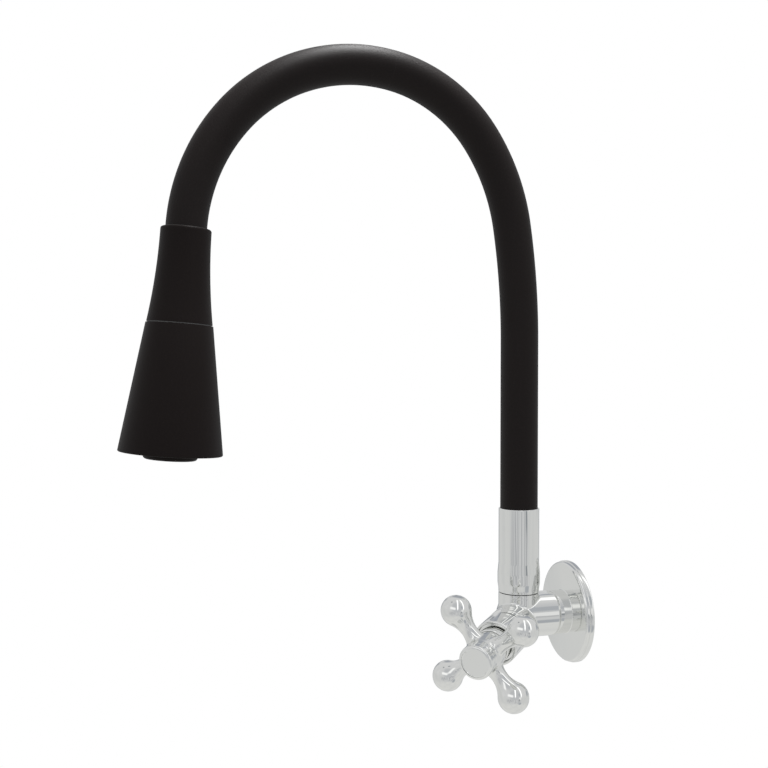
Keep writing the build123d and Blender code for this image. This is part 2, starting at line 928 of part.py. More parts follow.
# Spray head frame: its axis runs on from the end of the hose's last bend
head_origin = hose_plane.from_local_coords(neck_top)
head_direction = hose_plane.from_local_coords(neck_top + neck_down) - head_origin
head_axis = Axis(head_origin, head_direction)
head_plane = Plane(origin=head_origin, x_dir=(1, 0, 0), z_dir=head_direction)
head_section = Plane(
    origin=head_origin, x_dir=(1, 0, 0), z_dir=Vector(1, 0, 0).cross(head_direction)
)

# The three layers and where each starts in the socket and ends in the neck
fitting_flange_high = flange_low + fitting_flange_height
head_flange_low = neck_grip + seat_gap
layers = {
    "hose_cover": (cover_radius, cover_wall, cover_seat, neck_grip),
    "conduit": (conduit_radius, conduit_wall, fitting_flange_high, head_flange_low),
    "water_hose": (water_radius, water_wall, fitting_flange_high, head_flange_low),
}
for layer, (outer, wall, start, grip) in layers.items():
    riser_line = Line((0, start), (0, riser_top))
    grip_line = Line(neck_top, neck_top + neck_down * grip)
    stretches = {
        "riser": [riser_line],
        "low_bend": [low_bend_line],
        "arch": [arch_first, arch_second],
        "high_bend": [high_bend_line],
        "drop": [drop_first, drop_second, grip_line],
    }
    for stretch, lines in stretches.items():
        run = hose_plane * Wire([edge for line in lines for edge in line.edges()])
        with BuildPart() as hose:
            with BuildSketch(Plane(origin=run @ 0, z_dir=run % 0)):
                Circle(outer)
                Circle(outer - wall, mode=Mode.SUBTRACT)
            sweep(path=run)
        hose.part.label = f"{layer}_{stretch}"
        export_step(hose.part, f"parts/{layer}_{stretch}.step")


def barb_outline(low, flange_top, thread_bottom, direction):
    """Half outline of a hose fitting, from its threaded end to the tip of its barb."""
    tip = flange_top + direction * barb_length
    step = (tip - flange_top) / barb_count
    outline = [
        (fitting_bore, thread_bottom),
        (fitting_thread - slip, thread_bottom),
        (fitting_thread - slip, low),
        (fitting_flange, low),
        (fitting_flange, flange_top),
        (barb_radius, flange_top),
    ]
    for count in range(barb_count):
        outline.append((barb_radius + barb_height, flange_top + step * (count + 0.5)))
        outline.append((barb_radius, flange_top + step * (count + 1)))
    outline.append((fitting_bore, tip))
    return outline


# Lower hose fitting, screwed into the socket, and its crimped ferrule
with BuildPart() as lower_hose_fitting:
    revolve(
        half_section(
            spout_section, barb_outline(flange_low, fitting_flange_high, fitting_low, 1)
        ),
        axis=spout_axis,
    )
lower_hose_fitting.part.label = "lower_hose_fitting"
export_step(lower_hose_fitting.part, "parts/lower_hose_fitting.step")

with BuildPart() as lower_ferrule:
    revolve(
        washer_section(
            spout_section,
            water_radius + slip,
            water_radius + slip + ferrule_wall,
            fitting_flange_high,
            fitting_flange_high + ferrule_length,
        ),
        axis=spout_axis,
    )
lower_ferrule.part.label = "lower_ferrule"
export_step(lower_ferrule.part, "parts/lower_ferrule.step")

# Upper hose fitting and ferrule, the same pair turned over inside the spray neck
head_flange_high = head_flange_low + fitting_flange_height
head_thread_end = head_flange_high + fitting_thread_length
with BuildPart() as upper_hose_fitting:
    revolve(
        half_section(
            head_section, barb_outline(head_flange_high, head_flange_low, head_thread_end, -1)
        ),
        axis=head_axis,
    )
upper_hose_fitting.part.label = "upper_hose_fitting"
export_step(upper_hose_fitting.part, "parts/upper_hose_fitting.step")

with BuildPart() as upper_ferrule:
    revolve(
        washer_section(
            head_section,
            water_radius + slip,
            water_radius + slip + ferrule_wall,
            head_flange_low - ferrule_length,
            head_flange_low,
        ),
        axis=head_axis,
    )
upper_ferrule.part.label = "upper_ferrule"
export_step(upper_ferrule.part, "parts/upper_ferrule.step")

# Rubber washer that seals the fitting's end against the neck's floor
washer_high = head_thread_end + head_washer_height
with BuildPart() as head_washer:
    revolve(
        washer_section(
            head_section, fitting_bore, fitting_thread - slip, head_thread_end, washer_high
        ),
        axis=head_axis,
    )
head_washer.part.label = "head_washer"
export_step(head_washer.part, "parts/head_washer.step")

# Spray neck: a shell that flares in one long arc, with the fitting's thread inside
core_top = washer_high + neck_floor + chamber_length
core_thread_bore = core_thread_radius + slip
with BuildPart() as spray_neck:
    with BuildSketch(head_section) as neck_outline:
        with BuildLine():
            Polyline(
                (neck_base_radius, neck_length),
                (core_thread_bore, neck_length),
                (core_thread_bore, washer_high + neck_floor),
                (fitting_bore, washer_high + neck_floor),
                (fitting_bore, washer_high),
                (fitting_thread, washer_high),
                (fitting_thread, head_flange_high),
                (fitting_flange + slip, head_flange_high),
                (fitting_flange + slip, neck_grip),
                (cover_bore, neck_grip),
                (cover_bore, 0),
                (neck_top_radius, 0),
            )
            TangentArc((neck_top_radius, 0), (neck_base_radius, neck_length), tangent=(0, 1))
        make_face()
        top_corner = neck_outline.vertices().sort_by_distance(Vector(neck_top_radius, 0))[0]
        fillet(top_corner, neck_top_edge)
    revolve(axis=head_axis)
spray_neck.part.label = "spray_neck"
export_step(spray_neck.part, "parts/spray_neck.step")

# Spray core: screwed into the neck, carries the cone and ends in a plate with one port
cone_top = neck_length + seam_gap
roof_low = cone_top + cone_roof
core_clip_low = roof_low + slip
core_groove = core_neck_radius - core_clip_grip
core_neck_end = core_clip_low + core_clip_height + core_shoulder
core_stem_radius = core_bore + core_stem_wall
core_plate_place = cone_top + core_reach
plate_face = core_plate_place + core_plate_height
core_groove_end = core_clip_low + core_clip_height + 2 * slip
port_ring_radius = jet_port + 2 * seal_ring
port_groove_half = seal_ring + slip
with BuildPart() as spray_core:
    revolve(
        half_section(
            head_section,
            [
                (core_bore, core_top),
                (core_thread_radius, core_top),
                (core_thread_radius, cone_top),
                (core_neck_radius, cone_top),
                (core_neck_radius, core_clip_low),
                (core_groove, core_clip_low),
                (core_groove, core_groove_end),
                (core_neck_radius, core_groove_end),
                (core_neck_radius, core_neck_end),
                (core_stem_radius, core_neck_end),
                (core_stem_radius, core_plate_place),
                (core_plate_radius, core_plate_place),
                (core_plate_radius, plate_face),
                (0, plate_face),
                (0, core_plate_place),
                (core_bore, core_plate_place),
            ],
        ),
        axis=head_axis,
    )
    with BuildSketch(head_plane.offset(core_plate_place)):
        with Locations((jet_circle, 0)):
            Circle(jet_port)
    extrude(amount=core_plate_height, mode=Mode.SUBTRACT)
    with BuildSketch(head_plane.offset(plate_face - 2 * seal_ring)):
        with Locations((jet_circle, 0)):
            Circle(port_ring_radius + port_groove_half)
            Circle(port_ring_radius - port_groove_half, mode=Mode.SUBTRACT)
    extrude(amount=2 * seal_ring, mode=Mode.SUBTRACT)
spray_core.part.label = "spray_core"
export_step(spray_core.part, "parts/spray_core.step")

with BuildPart() as core_clip:
    extrude(
        open_ring(
            head_plane.offset(core_clip_low + slip),
            core_groove + slip,
            core_neck_radius + core_clip_grip,
            clip_gap,
        ),
        amount=core_clip_height,
    )
core_clip.part.label = "core_clip"
export_step(core_clip.part, "parts/core_clip.step")

# Face seal round the core's port, just clear of the selector disc
selector_top = plate_face + selector_gap
port_axis = Axis(head_plane.from_local_coords(Vector(jet_circle, 0, 0)), head_direction)
port_section = Plane(
    origin=port_axis.position, x_dir=(1, 0, 0), z_dir=Vector(1, 0, 0).cross(head_direction)
)
with BuildPart() as port_seal:
    revolve(
        ring_section(
            port_section,
            port_ring_radius,
            selector_top - running - seal_ring,
            seal_ring,
        ),
        axis=port_axis,
    )
port_seal.part.label = "port_seal"
export_step(port_seal.part, "parts/port_seal.step")

# Selector disc: one straight port for the jet, one cross drilling for the spray
selector_low = selector_top + selector_height
with BuildPart() as selector_disc:
    with BuildSketch(head_plane.offset(selector_top)):
        Circle(selector_radius)
        with Locations((jet_circle, 0)):
            Circle(jet_port, mode=Mode.SUBTRACT)
    extrude(amount=selector_height)
    with BuildSketch(head_plane.offset(selector_top)):
        with Locations((0, jet_circle)):
            Circle(jet_port)
    extrude(amount=selector_height / 2, mode=Mode.SUBTRACT)
    with BuildSketch(head_plane.offset(selector_low)):
        with Locations((0, spray_circle)):
            Circle(cross_drilling)
    extrude(amount=-selector_height / 2, mode=Mode.SUBTRACT)
    cross_start = head_plane.from_local_coords(
        Vector(0, jet_circle, selector_top + selector_height / 2)
    )
    with BuildSketch(Plane(origin=cross_start, z_dir=head_plane.y_dir)):
        Circle(cross_drilling)
    extrude(amount=spray_circle - jet_circle, mode=Mode.SUBTRACT)
selector_disc.part.label = "selector_disc"
export_step(selector_disc.part, "parts/selector_disc.step")

# Manifold: an inner tube for the jet and a wide chamber for the spray, held by ribs
cone_end = cone_top + cone_length
face_high = cone_end - face_recess
face_low = face_high - face_height
manifold_roof_place = face_low - spray_room
cone_slope = (cone_base_radius - cone_top_radius) / cone_length
manifold_wide = cone_top_radius + cone_slope * (manifold_roof_place - cone_top)
manifold_radius = manifold_wide - cone_wall - manifold_play
inner_tube_outer = inner_tube_radius + manifold_wall
outer_tube_bore = selector_radius - manifold_wall
roof_end = manifold_roof_place + manifold_wall
with BuildPart() as spray_manifold:
    revolve(
        washer_section(
            head_section, inner_tube_radius, inner_tube_outer, selector_low, face_low
        ),
        axis=head_axis,
    )
    revolve(
        half_section(
            head_section,
            [
                (outer_tube_bore, selector_low),
                (selector_radius, selector_low),
                (selector_radius, manifold_roof_place),
                (manifold_radius, manifold_roof_place),
                (manifold_radius, face_low),
                (manifold_radius - manifold_wall, face_low),
                (manifold_radius - manifold_wall, roof_end),
                (outer_tube_bore, roof_end),
            ],
        ),
        axis=head_axis,
    )
    with BuildSketch(head_plane.offset(selector_low + manifold_wall)):
        rib_middle = (inner_tube_radius + selector_radius) / 2
        with PolarLocations(rib_middle, manifold_ribs):
            Rectangle(outer_tube_bore - inner_tube_radius, manifold_wall)
    extrude(amount=manifold_roof_place - selector_low)
spray_manifold.part.label = "spray_manifold"
export_step(spray_manifold.part, "parts/spray_manifold.step")

# Spray face with its nozzle holes and the insert that stands below the rim
insert_end = cone_end + insert_drop
aerator_end = insert_end - aerator_recess
aerator_start = aerator_end - aerator_height
with BuildPart() as spray_face:
    revolve(
        half_section(
            head_section,
            [
                (inner_tube_radius, face_low),
                (face_radius - slip, face_low),
                (face_radius - slip, face_high),
                (insert_radius, face_high),
                (insert_radius, insert_end),
                (aerator_radius + slip, insert_end),
                (aerator_radius + slip, aerator_start),
                (inner_tube_radius, aerator_start),
            ],
            [((insert_radius, insert_end), insert_edge)],
        ),
        axis=head_axis,
    )
    with BuildSketch(head_plane.offset(face_low)):
        for row_radius, count in zip(nozzle_row_radii, nozzle_counts):
            with PolarLocations(row_radius, count):
                Circle(nozzle_radius + slip)
    extrude(amount=face_height, mode=Mode.SUBTRACT)
spray_face.part.label = "spray_face"
export_step(spray_face.part, "parts/spray_face.step")

# Silicone mat whose nozzles poke through the spray face
with BuildPart() as nozzle_mat:
    with BuildSketch(head_plane.offset(face_low - mat_height)):
        Circle(manifold_radius - manifold_wall - slip)
        Circle(inner_tube_outer + slip, mode=Mode.SUBTRACT)
    extrude(amount=mat_height)
    with BuildSketch(head_plane.offset(face_low)):
        for row_radius, count in zip(nozzle_row_radii, nozzle_counts):
            with PolarLocations(row_radius, count):
                Circle(nozzle_radius)
    extrude(amount=face_height + nozzle_drop)
nozzle_mat.part.label = "nozzle_mat"
export_step(nozzle_mat.part, "parts/nozzle_mat.step")

# Aerator: a screwed-in ring with a square-holed screen
with BuildPart() as aerator_housing:
    revolve(
        washer_section(
            head_section,
            aerator_radius - aerator_wall,
            aerator_radius,
            aerator_start,
            aerator_end,
        ),
        axis=head_axis,
    )
aerator_housing.part.label = "aerator_housing"
export_step(aerator_housing.part, "parts/aerator_housing.step")

with BuildPart() as aerator_screen:
    with BuildSketch(head_plane.offset(aerator_end - 2 * screen_height)):
        Circle(aerator_radius - aerator_wall - slip)
        with GridLocations(screen_pitch, screen_pitch, screen_count, screen_count):
            Rectangle(screen_hole, screen_hole, mode=Mode.SUBTRACT)
    extrude(amount=screen_height)
aerator_screen.part.label = "aerator_screen"
export_step(aerator_screen.part, "parts/aerator_screen.step")

# Spray cone: the shell that the hand turns to change between jet and spray
roof_radius = cone_top_radius + cone_slope * cone_roof - cone_wall
seat_radius = cone_top_radius + cone_slope * (face_low - cone_top) - cone_wall
with BuildPart() as spray_cone:
    revolve(
        half_section(
            head_section,
            [
                (core_neck_radius + running, cone_top),
                (cone_top_radius, cone_top),
                (cone_base_radius, cone_end),
                (face_radius, cone_end),
                (face_radius, face_low),
                (seat_radius, face_low),
                (roof_radius, roof_low),
                (core_neck_radius + running, roof_low),
            ],
            [((cone_base_radius, cone_end), cone_edge)],
        ),
        axis=head_axis,
    )
spray_cone.part.label = "spray_cone"
export_step(spray_cone.part, "parts/spray_cone.step")
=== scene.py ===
import json
from math import atan2, cos, pi, radians, sin, sqrt, tan

import bpy
from mathutils import Matrix, Vector

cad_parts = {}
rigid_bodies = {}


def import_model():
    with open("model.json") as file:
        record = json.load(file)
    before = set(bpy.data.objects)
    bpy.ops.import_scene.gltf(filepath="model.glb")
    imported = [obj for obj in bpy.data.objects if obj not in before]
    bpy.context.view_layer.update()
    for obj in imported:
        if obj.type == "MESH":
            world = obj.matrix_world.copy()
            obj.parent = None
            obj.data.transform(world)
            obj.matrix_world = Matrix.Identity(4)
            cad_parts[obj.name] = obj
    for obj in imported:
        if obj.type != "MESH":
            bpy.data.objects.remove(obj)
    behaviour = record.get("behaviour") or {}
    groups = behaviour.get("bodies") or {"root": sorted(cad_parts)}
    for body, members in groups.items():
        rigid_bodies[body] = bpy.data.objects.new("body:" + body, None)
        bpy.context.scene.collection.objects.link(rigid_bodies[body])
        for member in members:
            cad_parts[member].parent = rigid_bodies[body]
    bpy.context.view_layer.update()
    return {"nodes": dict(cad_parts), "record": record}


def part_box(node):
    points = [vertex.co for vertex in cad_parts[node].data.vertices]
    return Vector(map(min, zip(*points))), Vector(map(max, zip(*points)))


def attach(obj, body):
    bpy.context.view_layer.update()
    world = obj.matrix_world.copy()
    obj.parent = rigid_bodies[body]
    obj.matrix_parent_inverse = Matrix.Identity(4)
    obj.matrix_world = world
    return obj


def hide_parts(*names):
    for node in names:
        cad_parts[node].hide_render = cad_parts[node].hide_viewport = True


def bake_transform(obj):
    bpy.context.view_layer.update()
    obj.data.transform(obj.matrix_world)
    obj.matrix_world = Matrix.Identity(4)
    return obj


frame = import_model()

# Lengths are millimetres, as in the solids, and MM turns them into metres.
MM = 0.001
UP = Vector((0, 0, 1))
ALONG_WALL = Vector((1, 0, 0))
FROM_WALL = Vector((0, -1, 0))
WALL_FACE = Vector((0, 0, 0))

# How finely the pieces are drawn
ROUND_STEPS = 96
NOZZLE_STEPS = 24
CORNER_STEPS = 6
CURVE_STEPS = 24
HOSE_SIDES = 64
HOSE_STEP = 1.6
BODY_GRAIN = 0.4
HANDLE_GRAIN = 0.36
POLISH_PASSES = 8
POLISH_SHARE = 0.5
SMOOTH_ANGLE = radians(38)
MERGE_REACH = 0.002
DRAWING_BLANK = 1.0

# Play left between faces that would otherwise lie in one plane
FACE_PLAY = 0.05

# Tap body
REACH = 34.3
VALVE_DROP = 3.3
VALVE_TURN = radians(46)
VALVE_DIP = radians(6.6)
SPOUT_FOOT = FROM_WALL * REACH
VALVE_CENTRE = SPOUT_FOOT - UP * VALVE_DROP
VALVE_WAY = Vector(
    (
        sin(VALVE_TURN) * cos(VALVE_DIP),
        -cos(VALVE_TURN) * cos(VALVE_DIP),
        -sin(VALVE_DIP),
    )
)
WATER_BORE = 5.0
TAIL_CUT = 1.0
BARREL_CUT = 12.2
LIP_BORE = 11.38
LIP_WALL = 0.5
LIP_TAPER = 0.05
LIP_HIGH = 13.75
LIP_EDGE = 0.12

# Inlet thread, G 1/2
INLET_RADIUS = 20.955 / 2
INLET_LENGTH = 9.5
INLET_CHAMFER = 1.2
THREAD_PITCH = 1.814
THREAD_DEPTH = 1.162
THREAD_CREST = 0.24

# Wall flange
FLANGE_RADIUS = 30.0
FLANGE_DEPTH = 5.3
FLANGE_EDGE = 1.5
FLANGE_WALL = 1.0
FLANGE_NECK = 12.75
FLANGE_NECK_LENGTH = 7.5
FLANGE_FILLET = 0.5
FLANGE_LIP = 0.3
FLANGE_STEP_PLACE = 2.7
FLANGE_STEP = 0.5
FLANGE_BEAD = 0.45

# Bonnet shroud, with places along the valve's way
BOSS_LENGTH = 19.5
SHROUD_LENGTH = 19.7
SHROUD_BORE = 11.9
SHROUD_RADIUS = 13.0
SHROUD_EDGE = 0.85
SHROUD_MOUTH = 11.5
SHROUD_MOUTH_DEPTH = 1.4
SHROUD_LIP = 0.25
COLLAR_PLACE = 27.0
SPIGOT_END = 26.0
WEB_BORE = 10.5

# Handle, with places along the valve's way: bell, hub, drum and cap
BELL_LOW = 35.4
BELL_BORE = 7.3
BELL_RING = 11.7
BELL_RING_END = 36.7
BELL_RADIUS = 10.15
BELL_SHOULDER = 44.6
BELL_END = 45.6
BELL_NECK = 9.7
BELL_EDGE = 0.5
HUB_CUT = 44.9
DRUM_CUT = 63.2
DRUM_RADIUS = 9.6
DRUM_START = 62.4
DRUM_END = 68.7
DRUM_EDGE = 1.6
DRUM_LINE_PLACE = 63.9
DRUM_LINE = 0.22
CAP_LOW = 64.1
CAP_HIGH = 68.3
CAP_RADIUS = 8.28
CAP_WALL = 1.4
CAP_EDGE = 0.3
CAP_DISH = 0.12
CAP_RIM = 0.7

# Swivel washer and spout socket, with heights above the spout's foot
SWIVEL_BORE = 8.58
WASHER_RADIUS = 11.3
WASHER_LOW = 13.0
WASHER_HIGH = 14.2
WASHER_EDGE = 0.2
SOCKET_FOOT = 11.9
SOCKET_RADIUS = 11.88
SOCKET_BULGE = 12.45
BULGE_PLACES = (15.8, 19.5, 25.5, 31.4)
BULGE_ROUND = 12.0
SOCKET_TOP = 63.5
SOCKET_LIP = 0.3
SWIVEL_TOP = 30.7
FITTING_BORE = 9.0
FITTING_SEAT = 37.0
FITTING_FLANGE = 9.95

# Hose: its layers, and its bends as (radius, turn)
COVER_RADIUS = 11.0
COVER_BORE = 11.05
COVER_WALL = 1.9
CONDUIT_RADIUS = 8.9
CONDUIT_WALL = 1.2
WATER_RADIUS = 6.2
WATER_WALL = 2.0
COVER_SEAT = 43.5
HOSE_SEEN = 66.0
RISER_TOP = 162.0
LOW_BEND = (445.0, radians(8.7))
ARCH = ((119.0, radians(25.7)), (84.5, radians(45.7)))
HIGH_BEND = (95.0, radians(36.0))
DROP = ((95.0, radians(23.4)), (106.0, radians(36.3)))

# Spray head
NECK_GRIP = 14.2
NECK_TOP_RADIUS = 13.5
NECK_TOP_EDGE = 1.2
NECK_LENGTH = 50.85
NECK_BASE_RADIUS = 17.5
NECK_BASE_EDGE = 0.25
FITTING_DEPTH = 3.0
CORE_BORE = 11.05
CORE_NECK = 9.58
SEAM_GAP = 0.4
CONE_TOP_RADIUS = 17.85
CONE_BASE_RADIUS = 27.8
CONE_LENGTH = 69.15
CONE_TOP_EDGE = 0.2
CONE_EDGE = 0.6
CONE_LIP = 0.2
CONE_WALL = 2.2
CONE_ROOF = 3.0
FACE_RADIUS = 25.0
FACE_RECESS = 3.0
FACE_HEIGHT = 2.4
FACE_BORE = 8.5
INSERT_RADIUS = 14.5
INSERT_DROP = 3.3
INSERT_EDGE = 1.8
INSERT_FILLET = 0.6
INSERT_LIP = 0.25
AERATOR_BORE = 11.05
AERATOR_HEIGHT = 7.0
AERATOR_RECESS = 0.7

# Nozzles: rows as (radius of the ring, how many)
NOZZLE_ROWS = ((16.9, 8), (20.1, 12))
NOZZLE_RADIUS = 0.9
NOZZLE_TIP = 0.35
NOZZLE_BORE = 0.38
NOZZLE_DROP = 1.6
NOZZLE_PLAY = 0.06
MAT_HEIGHT = 1.5
MAT_INNER = 10.1
MAT_OUTER = 21.6
MAT_EDGE = 0.2

# Dust that lies on the black pieces
DUST_COLOUR = (0.30, 0.29, 0.28)

# Studio floor, well below the tap
FLOOR_DROP = 900.0
FLOOR_RADIUS = 4000.0
FLOOR_COLOUR = (0.62, 0.625, 0.62)
FLOOR_ROUGHNESS = 0.9

# Lamps over the black pieces: each one's name and where it hangs
LAMP_PLACES = (("lamp_near", 70.0, -50.0), ("lamp_far", -70.0, 30.0))
LAMP_HEIGHT = 950.0
LAMP_WIDTH = 500.0
LAMP_DEPTH = 120.0
LAMP_POWER = 5

# Camera, as the photograph was taken
PHOTO_LENS = 48.52
PHOTO_PLACE = Vector((560.865, -286.475, 151.127))
PHOTO_DIP = radians(1.358)
PHOTO_TURN = radians(73.24)

# Tent round the tap: its cloth, where it changes from floor to wall and from wall to roof, its
# folds and the streaks of its panels
TENT_FLOOR = (0.78, 0.78, 0.765)
TENT_WALL = (0.70, 0.705, 0.70)
TENT_ROOF = (0.75, 0.75, 0.755)
TENT_FOLD = (0.60, 0.61, 0.62)
FLOOR_TO_WALL = (-0.7, -0.35)
WALL_TO_ROOF = (-0.05, 0.3)
FOLD_SCALE = 2.4
FOLD_RANGE = (0.34, 0.66)
FOLD_STRENGTH = 0.35
STREAK_STRETCH = (9, 9, 1.5)
PANEL_FADE = (1.3, 0.7)

# Panels and lamps of the tent. Directions are given to the camera's right, up and towards it, and
# a panel's reach is in degrees. A strip is (pole, offset, half width, edge): what the panel keeps
# square to a pole. Streaky panels say from where to where the streaks fade in.
HORIZON = (0, 1, 0)
DARK_LEG = (0.22, 0.24, 0.27)
HOLE = (0.30, 0.32, 0.34)
LAMP_CLOTH = (1.5, 1.5, 1.5)
PANELS = (
    # grey window the lamps hang in
    dict(towards=(0.19, 0.55, 0.81), reach=40, colour=(0.57, 0.58, 0.60)),
    # table in front of the tap, with its folds
    dict(
        towards=(0.1, -0.1, 0.99),
        reach=50,
        colour=(0.66, 0.665, 0.675),
        strip=(HORIZON, -0.2, 0.22, 0.14),
    ),
    dict(
        towards=(0.1, -0.1, 0.99),
        reach=46,
        colour=(0.40, 0.41, 0.43),
        strip=(HORIZON, -0.17, 0.19, 0.12),
        streaky=(0.48, 0.64),
    ),
    # window and dark frames to the right of the camera, seen in the flange's neck
    dict(towards=(0.71, 0.50, 0.50), reach=9, colour=(0.47, 0.49, 0.52)),
    dict(towards=(0.76, 0.12, 0.64), reach=8, colour=(0.88, 0.88, 0.88)),
    dict(
        towards=(0.68, -0.43, 0.60),
        reach=10,
        colour=(0.44, 0.46, 0.49),
        strip=(HORIZON, -0.45, 0.12, 0.05),
    ),
    # dark corner behind the tap
    dict(towards=(0.09, 0.59, -0.80), reach=20, colour=(0.40, 0.42, 0.46)),
    # far right, seen in the socket's edge
    dict(
        towards=(0.78, 0.06, -0.62),
        reach=13,
        colour=(0.42, 0.44, 0.47),
        strip=(HORIZON, 0.09, 0.14, 0.08),
    ),
    # dark legs and folds of the tent behind the tap, seen in the edges of what is round
    dict(
        towards=(0.0, 0.0, -1.0),
        reach=38,
        colour=(0.30, 0.32, 0.35),
        strip=(HORIZON, 0.0, 0.6, 0.2),
        streaky=(0.50, 0.62),
    ),
    dict(
        towards=(0.24, -0.1, -0.966), reach=9, colour=DARK_LEG, strip=(HORIZON, -0.1, 0.5, 0.1)
    ),
    dict(
        towards=(-0.29, -0.1, -0.95), reach=9, colour=DARK_LEG, strip=(HORIZON, -0.1, 0.5, 0.1)
    ),
    # lamps
    dict(
        towards=(-0.36, 0.47, 0.806),
        reach=20,
        colour=(1.1, 1.1, 1.1),
        strip=((0.246, 0.895, -0.408), 0.0, 0.14, 0.09),
    ),
    dict(
        towards=(0.166, 0.834, 0.526),
        reach=36,
        colour=LAMP_CLOTH,
        strip=((0.969, -0.105, -0.224), 0.0, 0.07, 0.035),
    ),
    dict(
        towards=(0.684, 0.711, 0.162),
        reach=32,
        colour=LAMP_CLOTH,
        strip=((0.505, -0.4025, -0.7627), -0.03, 0.07, 0.035),
    ),
    # two holes in the tent
    dict(towards=(-0.437, 0.893, 0.102), reach=4.5, colour=HOLE),
    dict(towards=(0.691, -0.012, 0.722), reach=4.5, colour=HOLE),
)


def nothing_selected():
    bpy.ops.object.select_all(action="DESELECT")


def pick(*pieces):
    """Selects these objects alone. The last one is the active one."""
    nothing_selected()
    for piece in pieces:
        piece.select_set(True)
        bpy.context.view_layer.objects.active = piece


def edit(piece):
    """Opens a mesh for editing with all of it selected."""
    pick(piece)
    bpy.ops.object.mode_set(mode="EDIT")
    bpy.ops.mesh.select_all(action="SELECT")


def close_mesh():
    """Merges what lies together, turns every face outwards and leaves edit mode."""
    bpy.ops.mesh.select_all(action="SELECT")
    bpy.ops.mesh.remove_doubles(threshold=MERGE_REACH * MM)
    bpy.ops.mesh.normals_make_consistent(inside=False)
    bpy.ops.object.mode_set(mode="OBJECT")


def set_in_place(piece):
    """Puts a piece's place into its mesh, so that its origin is the frame's, and smooths it."""
    pick(piece)
    bpy.ops.object.transform_apply(location=True, rotation=True, scale=True)
    bpy.ops.object.shade_smooth_by_angle(angle=SMOOTH_ANGLE)


def shaped(piece, kind, **values):
    """Gives a piece a modifier with its values and applies it."""
    pick(piece)
    modifier = piece.modifiers.new(kind, kind)
    for key, value in values.items():
        setattr(modifier, key, value)
    bpy.ops.object.modifier_apply(modifier=modifier.name)


def joined(name, *pieces):
    """Makes several meshes one piece."""
    pick(*pieces)
    bpy.ops.object.join()
    piece = bpy.context.object
    piece.name = name
    return piece


def drawn(name, spots):
    """Starts a mesh as a line of edges through some places, and leaves it open for editing."""
    nothing_selected()
    bpy.ops.mesh.primitive_plane_add(size=DRAWING_BLANK * MM, location=spots[0])
    piece = bpy.context.object
    piece.name = name
    bpy.ops.object.mode_set(mode="EDIT")
    bpy.ops.mesh.merge(type="CENTER")
    for here, there in zip(spots, spots[1:]):
        bpy.ops.mesh.extrude_region_move(TRANSFORM_OT_translate={"value": there - here})
    bpy.ops.mesh.select_all(action="SELECT")
    return piece


def rounded(outline):
    """Points of an outline whose corners are (radius, height) or (radius, height, round)."""
    points = []
    for index, (radius, height, *turn) in enumerate(outline):
        corner = Vector((radius, height))
        if not turn:
            points.append(corner)
            continue
        before = (Vector(outline[index - 1][:2]) - corner).normalized()
        after = (Vector(outline[(index + 1) % len(outline)][:2]) - corner).normalized()
        half = before.angle(after) / 2
        centre = corner + (before + after).normalized() * turn[0] / sin(half)
        first = corner + before * turn[0] / tan(half) - centre
        last = corner + after * turn[0] / tan(half) - centre
        sweep = atan2(first.cross(last), first.dot(last))
        for step in range(CORNER_STEPS + 1):
            points.append(centre + Matrix.Rotation(sweep * step / CORNER_STEPS, 2) @ first)
    return points


def turned(name, foot, way, outline, steps=ROUND_STEPS):
    """A piece turned on a lathe: its outline is drawn in edges and spun round the axis."""
    across = way.orthogonal().normalized()
    points = rounded(outline)
    if points[0].x > 0:
        points.append(points[0])
    piece = drawn(name, [(foot + across * point.x + way * point.y) * MM for point in points])
    bpy.ops.mesh.spin(steps=steps, angle=2 * pi, center=foot * MM, axis=way)
    close_mesh()
    set_in_place(piece)
    return piece


def walk(place, way, radius, turn):
    """Where a bend of the hose ends and which way the hose then runs."""
    centre = place + ALONG_WALL.cross(way) * radius
    swing = Matrix.Rotation(turn, 3, "X")
    return centre + swing @ (place - centre), swing @ way


def swept(name, radius, wall, place, way, runs):
    """A tube led along straight runs (length,) and bends (bend radius, turn)."""
    nothing_selected()
    bpy.ops.mesh.primitive_circle_add(
        vertices=HOSE_SIDES,
        radius=radius * MM,
        location=place * MM,
        rotation=way.to_track_quat("Z", "Y").to_euler(),
    )
    piece = bpy.context.object
    piece.name = name
    bpy.ops.object.mode_set(mode="EDIT")
    for run in runs:
        if len(run) == 1:
            step = way * run[0]
            bpy.ops.mesh.extrude_region_move(TRANSFORM_OT_translate={"value": step * MM})
            place = place + step
            continue
        bend_radius, turn = run
        # Spin turns against the right-hand rule, so its axis points the other way.
        bpy.ops.mesh.spin(
            steps=round(bend_radius * turn / HOSE_STEP),
            angle=turn,
            center=(place + ALONG_WALL.cross(way) * bend_radius) * MM,
            axis=-ALONG_WALL,
        )
        place, way = walk(place, way, bend_radius, turn)
    close_mesh()
    shaped(piece, "SOLIDIFY", thickness=wall * MM, offset=-1)
    set_in_place(piece)
    return piece


def add_node(tree, kind, **values):
    node = tree.nodes.new(kind)
    for key, value in values.items():
        setattr(node, key, value)
    return node


def feed(tree, socket, term):
    """Gives a socket its value, or links it to the socket that the value comes from."""
    if isinstance(term, bpy.types.NodeSocket):
        tree.links.new(term, socket)
    else:
        socket.default_value = term


def math_node(tree, operation, *terms):
    """Result of a sum. Each of its terms is a socket or a number."""
    node = add_node(tree, "ShaderNodeMath", operation=operation)
    for socket, term in zip(node.inputs, terms):
        feed(tree, socket, term)
    return node.outputs["Value"]


